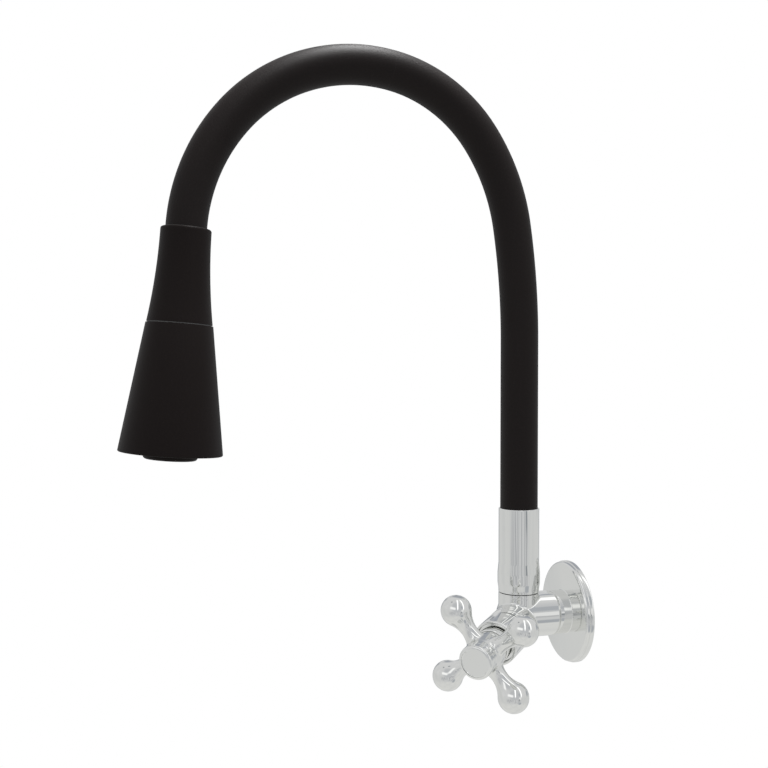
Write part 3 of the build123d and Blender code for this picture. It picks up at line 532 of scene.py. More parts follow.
def spread(tree, value, low, high, to_low=0.0, to_high=1.0):
    """Maps a value from one range to another, held at both ends."""
    node = add_node(tree, "ShaderNodeMapRange", interpolation_type="SMOOTHSTEP")
    feed(tree, node.inputs["Value"], value)
    feed(tree, node.inputs["From Min"], low)
    feed(tree, node.inputs["From Max"], high)
    feed(tree, node.inputs["To Min"], to_low)
    feed(tree, node.inputs["To Max"], to_high)
    return node.outputs["Result"]


def noise(tree, place, scale, detail=2.0, roughness=0.5):
    node = add_node(tree, "ShaderNodeTexNoise")
    feed(tree, node.inputs["Vector"], place)
    feed(tree, node.inputs["Scale"], scale)
    feed(tree, node.inputs["Detail"], detail)
    feed(tree, node.inputs["Roughness"], roughness)
    return node.outputs["Fac"]


def blend_colours(tree, mask, first, second):
    """Mixes two colours by a mask. Each colour is a socket or three numbers."""
    node = add_node(tree, "ShaderNodeMix", data_type="RGBA")
    feed(tree, node.inputs["Factor"], mask)
    # Sockets 6 and 7 of this node hold its two colours, and its output 2 is their blend.
    for socket, colour in ((node.inputs[6], first), (node.inputs[7], second)):
        plain = not isinstance(colour, bpy.types.NodeSocket)
        feed(tree, socket, (*colour, 1) if plain else colour)
    return node.outputs[2]


def new_group(name, inputs, outputs):
    """A shader group with its sockets, inputs as (name, kind, value) and outputs as (name, kind)."""
    group = bpy.data.node_groups.new(name, "ShaderNodeTree")
    for socket_name, kind, value in inputs:
        socket = group.interface.new_socket(socket_name, in_out="INPUT", socket_type=kind)
        if value is not None:
            socket.default_value = value
    for socket_name, kind in outputs:
        group.interface.new_socket(socket_name, in_out="OUTPUT", socket_type=kind)
    entry = group.nodes.new("NodeGroupInput")
    leave = group.nodes.new("NodeGroupOutput")
    return group, entry.outputs, leave.inputs


def fine_grain_group():
    """Grain of a soft or moulded surface: two sizes of fine bumps."""
    group, given, result = new_group(
        "fine_grain",
        [
            ("Place", "NodeSocketVector", None),
            ("Grains per Metre", "NodeSocketFloat", 2500.0),
            ("Coarse Share", "NodeSocketFloat", 0.35),
        ],
        [("Height", "NodeSocketFloat"), ("Speckle", "NodeSocketFloat")],
    )
    grains = given["Grains per Metre"]
    share = given["Coarse Share"]
    fine = noise(group, given["Place"], grains, detail=3.0, roughness=0.6)
    coarse = noise(group, given["Place"], math_node(group, "MULTIPLY", grains, 0.3))
    rest = math_node(group, "SUBTRACT", 1.0, share)
    fine_height = math_node(group, "MULTIPLY", fine, rest)
    coarse_height = math_node(group, "MULTIPLY", coarse, share)
    feed(group, result["Height"], math_node(group, "ADD", fine_height, coarse_height))
    feed(group, result["Speckle"], spread(group, fine, low=0.58, high=0.72))
    return group


def handling_marks_group():
    """Faint cloudy marks left by hands and wiping."""
    group, given, result = new_group(
        "handling_marks",
        [
            ("Place", "NodeSocketVector", None),
            ("Clouds per Metre", "NodeSocketFloat", 60.0),
            ("Cover", "NodeSocketFloat", 0.5),
        ],
        [("Mask", "NodeSocketFloat")],
    )
    scale = given["Clouds per Metre"]
    clouds = noise(group, given["Place"], scale, detail=4.0, roughness=0.6)
    streaks = noise(group, given["Place"], math_node(group, "MULTIPLY", scale, 5.0))
    cloud_share = math_node(group, "MULTIPLY", clouds, 0.75)
    streak_share = math_node(group, "MULTIPLY", streaks, 0.25)
    mixed = math_node(group, "ADD", cloud_share, streak_share)
    covered = math_node(group, "MULTIPLY", given["Cover"], 0.5)
    start = math_node(group, "SUBTRACT", 0.85, covered)
    full = math_node(group, "ADD", start, 0.22)
    feed(group, result["Mask"], spread(group, mixed, low=start, high=full))
    return group


def edge_sheen_and_wear_group():
    """Mask of the outer edges, broken up by a fine noise. The finishes paint these edges lighter: a
    painted highlight, and on machined metal wear as well.
    """
    group, given, result = new_group(
        "edge_sheen_and_wear",
        [
            ("Place", "NodeSocketVector", None),
            ("Width", "NodeSocketFloat", 0.5 * MM),
            ("Breaks per Metre", "NodeSocketFloat", 700.0),
        ],
        [("Mask", "NodeSocketFloat")],
    )
    bevel = add_node(group, "ShaderNodeBevel", samples=4)
    feed(group, bevel.inputs["Radius"], given["Width"])
    geometry = add_node(group, "ShaderNodeNewGeometry")
    likeness = add_node(group, "ShaderNodeVectorMath", operation="DOT_PRODUCT")
    feed(group, likeness.inputs[0], bevel.outputs["Normal"])
    feed(group, likeness.inputs[1], geometry.outputs["Normal"])
    bent = math_node(group, "SUBTRACT", 1.0, likeness.outputs["Value"])
    edge = spread(group, bent, low=0.01, high=0.12)
    breaks = noise(group, given["Place"], given["Breaks per Metre"])
    broken = spread(group, breaks, low=0.3, high=0.55, to_low=0.45)
    feed(group, result["Mask"], math_node(group, "MULTIPLY", edge, broken))
    return group


def settled_dust_group():
    """Mask of thin dust on what faces up."""
    group, given, result = new_group(
        "settled_dust",
        [
            ("Place", "NodeSocketVector", None),
            ("Amount", "NodeSocketFloat", 0.2),
            ("Specks per Metre", "NodeSocketFloat", 900.0),
        ],
        [("Mask", "NodeSocketFloat")],
    )
    geometry = add_node(group, "ShaderNodeNewGeometry")
    split = add_node(group, "ShaderNodeSeparateXYZ")
    feed(group, split.inputs["Vector"], geometry.outputs["Normal"])
    facing = spread(group, split.outputs["Z"], low=0.35, high=1.0)
    specks = noise(group, given["Place"], given["Specks per Metre"], detail=3.0, roughness=0.65)
    lying = math_node(group, "MULTIPLY", facing, spread(group, specks, low=0.45, high=0.7))
    feed(group, result["Mask"], math_node(group, "MULTIPLY", lying, given["Amount"]))
    return group


GROUPS = {
    "grain": fine_grain_group(),
    "marks": handling_marks_group(),
    "edges": edge_sheen_and_wear_group(),
    "dust": settled_dust_group(),
}


def place_group(tree, name, place, **values):
    """Puts a shared group into a finish with its own values. Returns its outputs."""
    node = add_node(tree, "ShaderNodeGroup", node_tree=GROUPS[name])
    feed(tree, node.inputs["Place"], place)
    for socket, value in values.items():
        node.inputs[socket.replace("_", " ")].default_value = value
    return node.outputs


def new_finish(name):
    """A material with its tree, its Principled shader's inputs and the object's coordinates."""
    finish = bpy.data.materials.new(name)
    finish.use_nodes = True
    tree = finish.node_tree
    place = add_node(tree, "ShaderNodeTexCoord").outputs["Object"]
    return finish, tree, tree.nodes["Principled BSDF"].inputs, place


def raise_surface(tree, look, height, depth, strength=1.0):
    """Lets a height bump the surface by up to depth, in millimetres."""
    bump = add_node(tree, "ShaderNodeBump")
    feed(tree, bump.inputs["Strength"], strength)
    feed(tree, bump.inputs["Distance"], depth * MM)
    feed(tree, bump.inputs["Height"], height)
    feed(tree, look["Normal"], bump.outputs["Normal"])


def plated_finish(name, colour, stained, sheen_and_wear_edge, shine, dull, ripple):
    """Plated metal: faint marks, edges painted brighter as a painted highlight, and the slight
    ripple of a polished casting.
    """
    finish, tree, look, place = new_finish(name)
    marks = place_group(tree, "marks", place, Clouds_per_Metre=55.0, Cover=0.55)["Mask"]
    edges = place_group(tree, "edges", place, Width=0.4 * MM)["Mask"]
    cloudy = blend_colours(tree, marks, colour, stained)
    # The edge colour is a painted highlight along the edges.
    feed(tree, look["Base Color"], blend_colours(tree, edges, cloudy, sheen_and_wear_edge))
    feed(tree, look["Roughness"], spread(tree, marks, 0.0, 1.0, shine, dull))
    feed(tree, look["Metallic"], 1)
    raise_surface(tree, look, noise(tree, place, 85.0, detail=1.0), ripple)
    return finish


def soft_black_finish(name, colour, paler, painted_edge_highlight, shine, dull, grains, depth, dust, gloss):
    """Matt black silicone or plastic: fine grain, uneven sheen, edges painted paler as a painted
    highlight, and a trace of dust.
    """
    finish, tree, look, place = new_finish(name)
    grain = place_group(tree, "grain", place, Grains_per_Metre=grains)
    marks = place_group(tree, "marks", place, Clouds_per_Metre=40.0, Cover=0.6)["Mask"]
    edges = place_group(tree, "edges", place, Width=0.6 * MM)["Mask"]
    dusty = place_group(tree, "dust", place, Amount=dust)["Mask"]
    speckled = blend_colours(tree, grain["Speckle"], colour, paler)
    # The edges are painted paler: a painted highlight.
    edged = blend_colours(tree, edges, speckled, painted_edge_highlight)
    feed(tree, look["Base Color"], blend_colours(tree, dusty, edged, DUST_COLOUR))
    feed(tree, look["Roughness"], spread(tree, marks, 0.0, 1.0, shine, dull))
    feed(tree, look["Specular IOR Level"], gloss)
    raise_surface(tree, look, grain["Height"], depth)
    return finish


def machined_finish(name, colour, darker, sheen_and_wear_edge, shine, dull, grooves):
    """Turned or wound metal: fine tool marks, uneven sheen and edges painted brighter, partly wear
    and partly a painted highlight.
    """
    finish, tree, look, place = new_finish(name)
    tool = add_node(tree, "ShaderNodeTexWave", wave_type="RINGS", rings_direction="SPHERICAL")
    feed(tree, tool.inputs["Vector"], place)
    feed(tree, tool.inputs["Scale"], grooves)
    feed(tree, tool.inputs["Distortion"], 1.5)
    marks = place_group(tree, "marks", place, Clouds_per_Metre=90.0, Cover=0.6)["Mask"]
    edges = place_group(tree, "edges", place, Width=0.3 * MM)["Mask"]
    stained = blend_colours(tree, marks, colour, darker)
    # The edges are painted brighter: partly wear, partly a painted highlight.
    feed(tree, look["Base Color"], blend_colours(tree, edges, stained, sheen_and_wear_edge))
    feed(tree, look["Roughness"], spread(tree, marks, 0.0, 1.0, shine, dull))
    feed(tree, look["Metallic"], 1)
    raise_surface(tree, look, tool.outputs["Fac"], depth=0.01, strength=0.4)
    return finish


def moulded_finish(name, colour, paler, shine, dull, grains, depth):
    """Plain moulded plastic, rubber or ceramic with its own grain."""
    finish, tree, look, place = new_finish(name)
    grain = place_group(tree, "grain", place, Grains_per_Metre=grains)
    marks = place_group(tree, "marks", place, Clouds_per_Metre=70.0, Cover=0.5)["Mask"]
    edges = place_group(tree, "edges", place, Width=0.3 * MM)["Mask"]
    speckled = blend_colours(tree, grain["Speckle"], colour, paler)
    # The edges are painted paler: a painted highlight.
    feed(tree, look["Base Color"], blend_colours(tree, edges, speckled, paler))
    feed(tree, look["Roughness"], spread(tree, marks, 0.0, 1.0, shine, dull))
    raise_surface(tree, look, grain["Height"], depth)
    return finish


# The finishes under the names of the slots they fill. Shine and dull are the roughness of clean
# and of marked places, and ripples, grains and their depths are the surface's own relief.
# The lighter edge colours are painted highlights, on the machined metals partly wear as well.
FINISHES = {
    "chrome_plate": plated_finish(
        "polished_chrome",
        colour=(0.815, 0.82, 0.805),
        stained=(0.76, 0.765, 0.75),
        sheen_and_wear_edge=(0.89, 0.895, 0.885),
        shine=0.03,
        dull=0.08,
        ripple=0.012,
    ),
    "nickel_plate": plated_finish(
        "dull_nickel",
        colour=(0.36, 0.36, 0.35),
        stained=(0.26, 0.26, 0.25),
        sheen_and_wear_edge=(0.50, 0.50, 0.49),
        shine=0.16,
        dull=0.3,
        ripple=0.01,
    ),
    "hose_rubber": soft_black_finish(
        "black_silicone_cover",
        colour=(0.0090, 0.0064, 0.0060),
        paler=(0.0150, 0.0112, 0.0106),
        painted_edge_highlight=(0.016, 0.0125, 0.0118),
        shine=0.5,
        dull=0.62,
        grains=1300.0,
        depth=0.07,
        dust=0.03,
        gloss=0.14,
    ),
    "black_abs": soft_black_finish(
        "black_spray_plastic",
        colour=(0.0082, 0.0056, 0.0052),
        paler=(0.0130, 0.0098, 0.0092),
        painted_edge_highlight=(0.0150, 0.0118, 0.0110),
        shine=0.5,
        dull=0.62,
        grains=1500.0,
        depth=0.06,
        dust=0.02,
        gloss=0.10,
    ),
    "machined_brass": machined_finish(
        "machined_brass",
        colour=(0.72, 0.52, 0.24),
        darker=(0.55, 0.37, 0.15),
        sheen_and_wear_edge=(0.85, 0.66, 0.36),
        shine=0.22,
        dull=0.38,
        grooves=600.0,
    ),
    "spring_steel": machined_finish(
        "spring_steel",
        colour=(0.55, 0.56, 0.57),
        darker=(0.42, 0.42, 0.43),
        sheen_and_wear_edge=(0.70, 0.70, 0.71),
        shine=0.25,
        dull=0.4,
        grooves=800.0,
    ),
    "core_steel": machined_finish(
        "conduit_steel",
        colour=(0.46, 0.46, 0.46),
        darker=(0.35, 0.35, 0.35),
        sheen_and_wear_edge=(0.62, 0.62, 0.62),
        shine=0.3,
        dull=0.45,
        grooves=500.0,
    ),
    "white_ceramic": moulded_finish(
        "lapped_ceramic",
        colour=(0.82, 0.82, 0.79),
        paler=(0.88, 0.88, 0.86),
        shine=0.12,
        dull=0.2,
        grains=4000.0,
        depth=0.003,
    ),
    "white_nylon": moulded_finish(
        "washer_nylon",
        colour=(0.060, 0.063, 0.068),
        paler=(0.09, 0.092, 0.096),
        shine=0.4,
        dull=0.5,
        grains=3000.0,
        depth=0.01,
    ),
    "black_rubber": moulded_finish(
        "ring_rubber",
        colour=(0.015, 0.015, 0.015),
        paler=(0.03, 0.03, 0.03),
        shine=0.5,
        dull=0.65,
        grains=2500.0,
        depth=0.02,
    ),
    "hose_liner": moulded_finish(
        "water_hose_liner",
        colour=(0.72, 0.74, 0.76),
        paler=(0.8, 0.82, 0.84),
        shine=0.3,
        dull=0.4,
        grains=2000.0,
        depth=0.01,
    ),
    "grey_plastic": moulded_finish(
        "core_plastic",
        colour=(0.30, 0.31, 0.32),
        paler=(0.36, 0.37, 0.38),
        shine=0.42,
        dull=0.55,
        grains=2800.0,
        depth=0.015,
    ),
    "grey_silicone": moulded_finish(
        "nozzle_silicone",
        colour=(0.10, 0.10, 0.105),
        paler=(0.15, 0.15, 0.155),
        shine=0.5,
        dull=0.62,
        grains=2600.0,
        depth=0.02,
    ),
}


def coat(piece, slot):
    """Gives a piece the finish of its slot."""
    piece.data.materials.clear()
    piece.data.materials.append(FINISHES[slot])


def dress_solids():
    """Every solid takes the finish of its slot in the record."""
    for part in frame["record"]["subparts"]:
        coat(frame["nodes"][part["node"]], part["material_slot"])


def fit_out(piece, body, slot, *nodes):
    """Coats a piece with its slot's finish, hangs it on the body it rides on, if any, and hides the
    solids it stands for.
    """
    coat(piece, slot)
    if body:
        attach(piece, body)
    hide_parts(*nodes)


def wall_flange():
    """Thin disc with a beaded rim and a short neck round the wall arm."""
    shoulder = FLANGE_DEPTH + FLANGE_NECK_LENGTH
    neck_bore = FLANGE_NECK - FLANGE_WALL
    outline = [
        (FLANGE_RADIUS, 0, FLANGE_BEAD),
        (FLANGE_RADIUS, FLANGE_STEP_PLACE, FLANGE_BEAD),
        (FLANGE_RADIUS - FLANGE_STEP, FLANGE_STEP_PLACE),
        (FLANGE_RADIUS - FLANGE_STEP, FLANGE_DEPTH, FLANGE_EDGE),
        (FLANGE_NECK, FLANGE_DEPTH, FLANGE_FILLET),
        (FLANGE_NECK, shoulder, FLANGE_LIP),
        (neck_bore, shoulder),
        (neck_bore, FLANGE_DEPTH - FLANGE_WALL),
        (FLANGE_RADIUS - FLANGE_WALL, FLANGE_DEPTH - FLANGE_WALL, FLANGE_FILLET),
        (FLANGE_RADIUS - FLANGE_WALL, 0),
    ]
    piece = turned("flange_plate", WALL_FACE, FROM_WALL, outline)
    fit_out(piece, "wall_body", "chrome_plate", "wall_flange")


def polished_copy(node, grain, cuts):
    """A merged copy of a solid, cut square to a way at some places and drawn smooth."""
    copy = frame["nodes"][node].copy()
    copy.data = copy.data.copy()
    copy.parent = None
    bpy.context.collection.objects.link(copy)
    edit(copy)
    bpy.ops.mesh.remove_doubles(threshold=MERGE_REACH * MM)
    for place, way in cuts:
        bpy.ops.mesh.select_all(action="SELECT")
        bpy.ops.mesh.bisect(plane_co=place * MM, plane_no=way, clear_outer=True, use_fill=True)
    bpy.ops.object.mode_set(mode="OBJECT")
    shaped(copy, "REMESH", mode="VOXEL", voxel_size=grain * MM)
    shaped(copy, "SMOOTH", factor=POLISH_SHARE, iterations=POLISH_PASSES)
    return copy


def thread_ridge(root):
    """The ridge of the inlet's thread: one tooth carried round and along the axis."""
    turns = (INLET_LENGTH + TAIL_CUT) / THREAD_PITCH
    foot = root - THREAD_CREST
    half_root = (THREAD_PITCH - THREAD_CREST) / 2
    half_crest = THREAD_CREST / 2
    tooth = [
        (foot, -TAIL_CUT - half_root),
        (foot, -TAIL_CUT + half_root),
        (INLET_RADIUS, -TAIL_CUT + half_crest),
        (INLET_RADIUS, -TAIL_CUT - half_crest),
    ]
    ridge = drawn("thread_ridge", [Vector((radius, place, 0)) * MM for radius, place in tooth])
    bpy.ops.mesh.edge_face_add()
    bpy.ops.object.mode_set(mode="OBJECT")
    bpy.ops.object.transform_apply(location=True, rotation=True, scale=True)
    steps = round(ROUND_STEPS * turns)
    shaped(
        ridge,
        "SCREW",
        axis="Y",
        angle=2 * pi * turns,
        screw_offset=THREAD_PITCH * turns * MM,
        steps=steps,
        render_steps=steps,
    )
    edit(ridge)
    bpy.ops.mesh.fill_holes(sides=len(tooth))
    close_mesh()
    return ridge


def inlet_thread():
    """The threaded inlet: a plain tail, and the thread's ridge cut to length by its blank."""
    root = INLET_RADIUS - THREAD_DEPTH
    clear = INLET_RADIUS + FACE_PLAY
    outline = [
        (WATER_BORE, -TAIL_CUT),
        (root, -TAIL_CUT),
        (root, INLET_LENGTH, INLET_CHAMFER / 2),
        (WATER_BORE, INLET_LENGTH, INLET_CHAMFER / 4),
    ]
    tail = turned("inlet_tail", WALL_FACE, -FROM_WALL, outline)
    outline = [
        (WATER_BORE, -TAIL_CUT),
        (clear, -TAIL_CUT),
        (clear, INLET_LENGTH - INLET_CHAMFER - FACE_PLAY),
        (INLET_RADIUS - INLET_CHAMFER, INLET_LENGTH),
        (WATER_BORE, INLET_LENGTH),
    ]
    blank = turned("thread_blank", WALL_FACE, -FROM_WALL, outline)
    ridge = thread_ridge(root)
    shaped(ridge, "BOOLEAN", operation="INTERSECT", object=blank)
    bpy.data.objects.remove(blank)
    return ridge, tail


def barrel_lip():
    """The barrel's turned top, whose raised edge hides most of the washer."""
    lip_low = BARREL_CUT - 2 * LIP_WALL
    outline = [
        (SWIVEL_BORE, lip_low),
        (SOCKET_FOOT - LIP_TAPER, lip_low),
        (SOCKET_FOOT, BARREL_CUT - LIP_WALL),
        (SOCKET_FOOT, LIP_HIGH, LIP_EDGE),
        (LIP_BORE, LIP_HIGH),
        (LIP_BORE, WASHER_LOW),
        (SWIVEL_BORE, WASHER_LOW),
    ]
    return turned("barrel_lip", SPOUT_FOOT, UP, outline)


def tap_casting():
    """The body: its solid drawn smooth between the barrel's turned top and the inlet."""
    casting = polished_copy(
        "valve_body",
        BODY_GRAIN,
        (
            (FROM_WALL * TAIL_CUT, -FROM_WALL),
            (SPOUT_FOOT + UP * BARREL_CUT, UP),
        ),
    )
    piece = joined("tap_casting", *inlet_thread(), barrel_lip(), casting)
    set_in_place(piece)
    fit_out(piece, "wall_body", "chrome_plate", "valve_body")


def valve_sleeve():
    """Sleeve in front of the body's slanted boss, open where the handle's bell turns in it."""
    shroud_end = BOSS_LENGTH + SHROUD_LENGTH
    outline = [
        (SHROUD_BORE, BOSS_LENGTH),
        (SHROUD_RADIUS, BOSS_LENGTH, SHROUD_LIP),
        (SHROUD_RADIUS, shroud_end, SHROUD_EDGE),
        (SHROUD_MOUTH, shroud_end, SHROUD_LIP * 2),
        (SHROUD_MOUTH, shroud_end - SHROUD_MOUTH_DEPTH),
        (SHROUD_BORE, shroud_end - SHROUD_MOUTH_DEPTH),
        (SHROUD_BORE, COLLAR_PLACE),
        (WEB_BORE, COLLAR_PLACE),
        (WEB_BORE, SPIGOT_END),
        (SHROUD_BORE, SPIGOT_END),
    ]
    piece = turned("valve_sleeve", VALVE_CENTRE, VALVE_WAY, outline)
    fit_out(piece, "wall_body", "chrome_plate", "bonnet_shroud")


def cross_grip():
    """The handle: its solid between hub and drum drawn smooth, bell and drum front turned."""
    cross = polished_copy(
        "cross_handle",
        HANDLE_GRAIN,
        (
            (VALVE_CENTRE + VALVE_WAY * DRUM_CUT, VALVE_WAY),
            (VALVE_CENTRE + VALVE_WAY * HUB_CUT, -VALVE_WAY),
        ),
    )
    outline = [
        (BELL_BORE, BELL_LOW),
        (BELL_RING, BELL_LOW),
        (BELL_RING, BELL_RING_END),
        (BELL_RADIUS, BELL_RING_END),
        (BELL_RADIUS, BELL_SHOULDER, BELL_EDGE),
        (BELL_NECK, BELL_END),
        (BELL_BORE, BELL_END),
    ]
    bell = turned("hub_bell", VALVE_CENTRE, VALVE_WAY, outline)
    pocket = CAP_RADIUS + FACE_PLAY
    outline = [
        (pocket, DRUM_START),
        (DRUM_RADIUS, DRUM_START, DRUM_LINE),
        (DRUM_RADIUS, DRUM_LINE_PLACE - DRUM_LINE, DRUM_LINE / 2),
        (DRUM_RADIUS - DRUM_LINE, DRUM_LINE_PLACE),
        (DRUM_RADIUS, DRUM_LINE_PLACE + DRUM_LINE, DRUM_LINE / 2),
        (DRUM_RADIUS, DRUM_END, DRUM_EDGE),
        (DRUM_RADIUS - DRUM_EDGE, DRUM_END),
        (pocket, DRUM_END - DRUM_LINE),
    ]
    front = turned("drum_front", VALVE_CENTRE, VALVE_WAY, outline)
    piece = joined("cross_grip", front, bell, cross)
    set_in_place(piece)
    fit_out(piece, "handle", "chrome_plate", "cross_handle")


def grip_cap():
    """Bare cap of the handle: a flat disc inside a thin raised rim."""
    outline = [
        (0, CAP_HIGH - CAP_WALL),
        (CAP_RADIUS - CAP_WALL, CAP_HIGH - CAP_WALL),
        (CAP_RADIUS - CAP_WALL, CAP_LOW),
        (CAP_RADIUS, CAP_LOW),
        (CAP_RADIUS, CAP_HIGH, CAP_EDGE),
        (CAP_RADIUS - CAP_RIM, CAP_HIGH),
        (CAP_RADIUS - CAP_RIM - CAP_DISH, CAP_HIGH - CAP_DISH),
        (0, CAP_HIGH - CAP_DISH),
    ]
    piece = turned("grip_cap", VALVE_CENTRE, VALVE_WAY, outline)
    fit_out(piece, "handle", "chrome_plate", "handle_cap")


def swivel_ring():
    """Washer that the spout socket turns on."""
    outline = [
        (SWIVEL_BORE, WASHER_LOW),
        (WASHER_RADIUS, WASHER_LOW, WASHER_EDGE),
        (WASHER_RADIUS, WASHER_HIGH, WASHER_EDGE),
        (SWIVEL_BORE, WASHER_HIGH),
    ]
    piece = turned("swivel_ring", SPOUT_FOOT, UP, outline)
    fit_out(piece, "wall_body", "white_nylon", "swivel_washer")


def socket_tube():
    """Tube that holds the hose, with a soft bulge near its foot."""
    foot, low, high, end = BULGE_PLACES
    outline = [
        (SWIVEL_BORE, WASHER_HIGH + FACE_PLAY),
        (SOCKET_FOOT, WASHER_HIGH + FACE_PLAY, LIP_EDGE),
        (SOCKET_FOOT, foot, BULGE_ROUND),
        (SOCKET_BULGE, low, BULGE_ROUND),
        (SOCKET_BULGE, high, BULGE_ROUND),
        (SOCKET_RADIUS, end, BULGE_ROUND),
        (SOCKET_RADIUS, SOCKET_TOP, SOCKET_LIP),
        (COVER_BORE, SOCKET_TOP, SOCKET_LIP),
        (COVER_BORE, COVER_SEAT),
        (FITTING_FLANGE, COVER_SEAT),
        (FITTING_FLANGE, FITTING_SEAT),
        (FITTING_BORE, FITTING_SEAT),
        (FITTING_BORE, SWIVEL_TOP),
        (SWIVEL_BORE, SWIVEL_TOP),
    ]
    piece = turned("socket_tube", SPOUT_FOOT, UP, outline)
    fit_out(piece, "spout", "chrome_plate", "spout_socket")


def hose_start(solid):
    """Height above the spout's foot where a layer of the hose begins."""
    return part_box(solid + "_riser")[0].z / MM - SPOUT_FOOT.z


def hose_grip(solid, place, way):
    """How far a layer of the hose runs on below the neck's top."""
    reach = (place.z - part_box(solid + "_drop")[0].z / MM) / -way.z
    return reach + (WATER_RADIUS if solid == "water_hose" else CONDUIT_RADIUS) * way.y


def hose():
    """Three layers, each drawn as a lower and an upper length with their bends."""
    layers = (
        ("cover", COVER_RADIUS, COVER_WALL, "hose_cover", "hose_rubber"),
        ("conduit", CONDUIT_RADIUS, CONDUIT_WALL, "conduit", "core_steel"),
        ("water_line", WATER_RADIUS, WATER_WALL, "water_hose", "hose_liner"),
    )
    riser_end = SPOUT_FOOT + UP * RISER_TOP
    low_end = walk(riser_end, UP, *LOW_BEND)
    arch_end = walk(*walk(*low_end, *ARCH[0]), *ARCH[1])
    high_end = walk(*arch_end, *HIGH_BEND)
    drop_end = walk(*walk(*high_end, *DROP[0]), *DROP[1])
    for name, radius, wall, solid, slot in layers:
        seat = COVER_SEAT if name == "cover" else hose_start(solid)
        start = SPOUT_FOOT + UP * seat
        riser = (RISER_TOP - seat,)
        lower = swept(name + "_lower", radius, wall, start, UP, [riser, LOW_BEND, *ARCH])
        fit_out(lower, None, slot, solid + "_riser", solid + "_low_bend", solid + "_arch")
        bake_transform(lower)
        grip = (NECK_GRIP if name == "cover" else hose_grip(solid, *drop_end),)
        upper = swept(name + "_upper", radius, wall, *arch_end, [HIGH_BEND, *DROP, grip])
        fit_out(upper, None, slot, solid + "_high_bend", solid + "_drop")
        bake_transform(upper)
    return drop_end


def neck_radius(height):
    """The neck flares along one arc that leaves the top straight down."""
    widening = NECK_BASE_RADIUS - NECK_TOP_RADIUS
    arc = (NECK_LENGTH**2 + widening**2) / (2 * widening)
    return NECK_TOP_RADIUS + arc - sqrt(arc**2 - height**2)


def head_neck(top, down):
    """Flared neck of the spray head, which grips the hose and holds the core."""
    flare = []
    for step in range(1, CURVE_STEPS):
        height = NECK_LENGTH * (1 - step / CURVE_STEPS)
        flare.append((neck_radius(height), height))
    outline = [
        (COVER_BORE, 0, NECK_BASE_EDGE),
        (COVER_BORE, NECK_GRIP),
        (FITTING_FLANGE, NECK_GRIP),
        (FITTING_FLANGE, NECK_GRIP + FITTING_DEPTH),
        (CORE_BORE, NECK_GRIP + FITTING_DEPTH),
        (CORE_BORE, NECK_LENGTH),
        (NECK_BASE_RADIUS, NECK_LENGTH, NECK_BASE_EDGE),
        *flare,
        (NECK_TOP_RADIUS, 0, NECK_TOP_EDGE),
    ]
    piece = turned("head_neck", top, down, outline)
    fit_out(piece, "spray_arm", "black_abs", "spray_neck")


def head_cone(top, down):
    """Hollow cone that turns on the core and carries the spray face."""
    cone_top = NECK_LENGTH + SEAM_GAP
    cone_end = cone_top + CONE_LENGTH
    face_low = cone_end - FACE_RECESS - FACE_HEIGHT
    slope = (CONE_BASE_RADIUS - CONE_TOP_RADIUS) / CONE_LENGTH
    roof_radius = CONE_TOP_RADIUS + slope * CONE_ROOF - CONE_WALL
    seat_radius = CONE_TOP_RADIUS + slope * (face_low - cone_top) - CONE_WALL
    outline = [
        (CORE_NECK, cone_top + FACE_PLAY),
        (CORE_BORE, cone_top + FACE_PLAY),
        (CORE_BORE + FACE_PLAY, cone_top),
        (CONE_TOP_RADIUS, cone_top, CONE_TOP_EDGE),
        (CONE_BASE_RADIUS, cone_end, CONE_EDGE),
        (FACE_RADIUS, cone_end, CONE_LIP),
        (FACE_RADIUS, face_low),
        (seat_radius, face_low),
        (roof_radius, cone_top + CONE_ROOF),
        (CORE_NECK, cone_top + CONE_ROOF),
    ]
    piece = turned("head_cone", top, down, outline)
    fit_out(piece, "spray_head", "black_abs", "spray_cone")


def around(piece, foot, way, angle):
    """A copy of a piece with its own mesh, turned round an axis."""
    twin = piece.copy()
    twin.data = piece.data.copy()
    bpy.context.collection.objects.link(twin)
    centre = Matrix.Translation(foot * MM)
    twin.matrix_world = centre @ Matrix.Rotation(angle, 4, way) @ centre.inverted()
    pick(twin)
    bpy.ops.object.transform_apply(location=True, rotation=True, scale=True)
    return twin


def ring_of_nozzles(top, down, outline):
    """The same small turned form at every nozzle's place in both rows."""
    out = down.orthogonal().normalized()
    nozzles = []
    for row, count in NOZZLE_ROWS:
        first = turned("nozzle", top + out * row, down, outline, NOZZLE_STEPS)
        nozzles.append(first)
        for place in range(1, count):
            nozzles.append(around(first, top, down, 2 * pi * place / count))
    return nozzles


def head_face(top, down):
    """Spray face with its nozzle holes and the round insert that stands below the rim."""
    cone_end = NECK_LENGTH + SEAM_GAP + CONE_LENGTH
    face_high = cone_end - FACE_RECESS
    face_low = face_high - FACE_HEIGHT
    insert_end = cone_end + INSERT_DROP
    seat = insert_end - AERATOR_RECESS - AERATOR_HEIGHT
    outline = [
        (FACE_BORE, face_low),
        (FACE_RADIUS - FACE_PLAY, face_low),
        (FACE_RADIUS - FACE_PLAY, face_high, INSERT_LIP),
        (INSERT_RADIUS, face_high, INSERT_FILLET),
        (INSERT_RADIUS, insert_end, INSERT_EDGE),
        (AERATOR_BORE, insert_end, INSERT_LIP),
        (AERATOR_BORE, seat),
        (FACE_BORE, seat),
    ]
    piece = turned("head_face", top, down, outline)
    hole = NOZZLE_RADIUS + NOZZLE_PLAY
    drill = [
        (0, face_low - NOZZLE_DROP),
        (hole, face_low - NOZZLE_DROP),
        (hole, face_high + NOZZLE_DROP),
        (0, face_high + NOZZLE_DROP),
    ]
    drills = joined("nozzle_drills", *ring_of_nozzles(top, down, drill))
    shaped(piece, "BOOLEAN", operation="DIFFERENCE", object=drills)
    bpy.data.objects.remove(drills)
    set_in_place(piece)
    fit_out(piece, "spray_head", "black_abs", "spray_face")
    nozzle_pad(top, down, face_low, face_high)


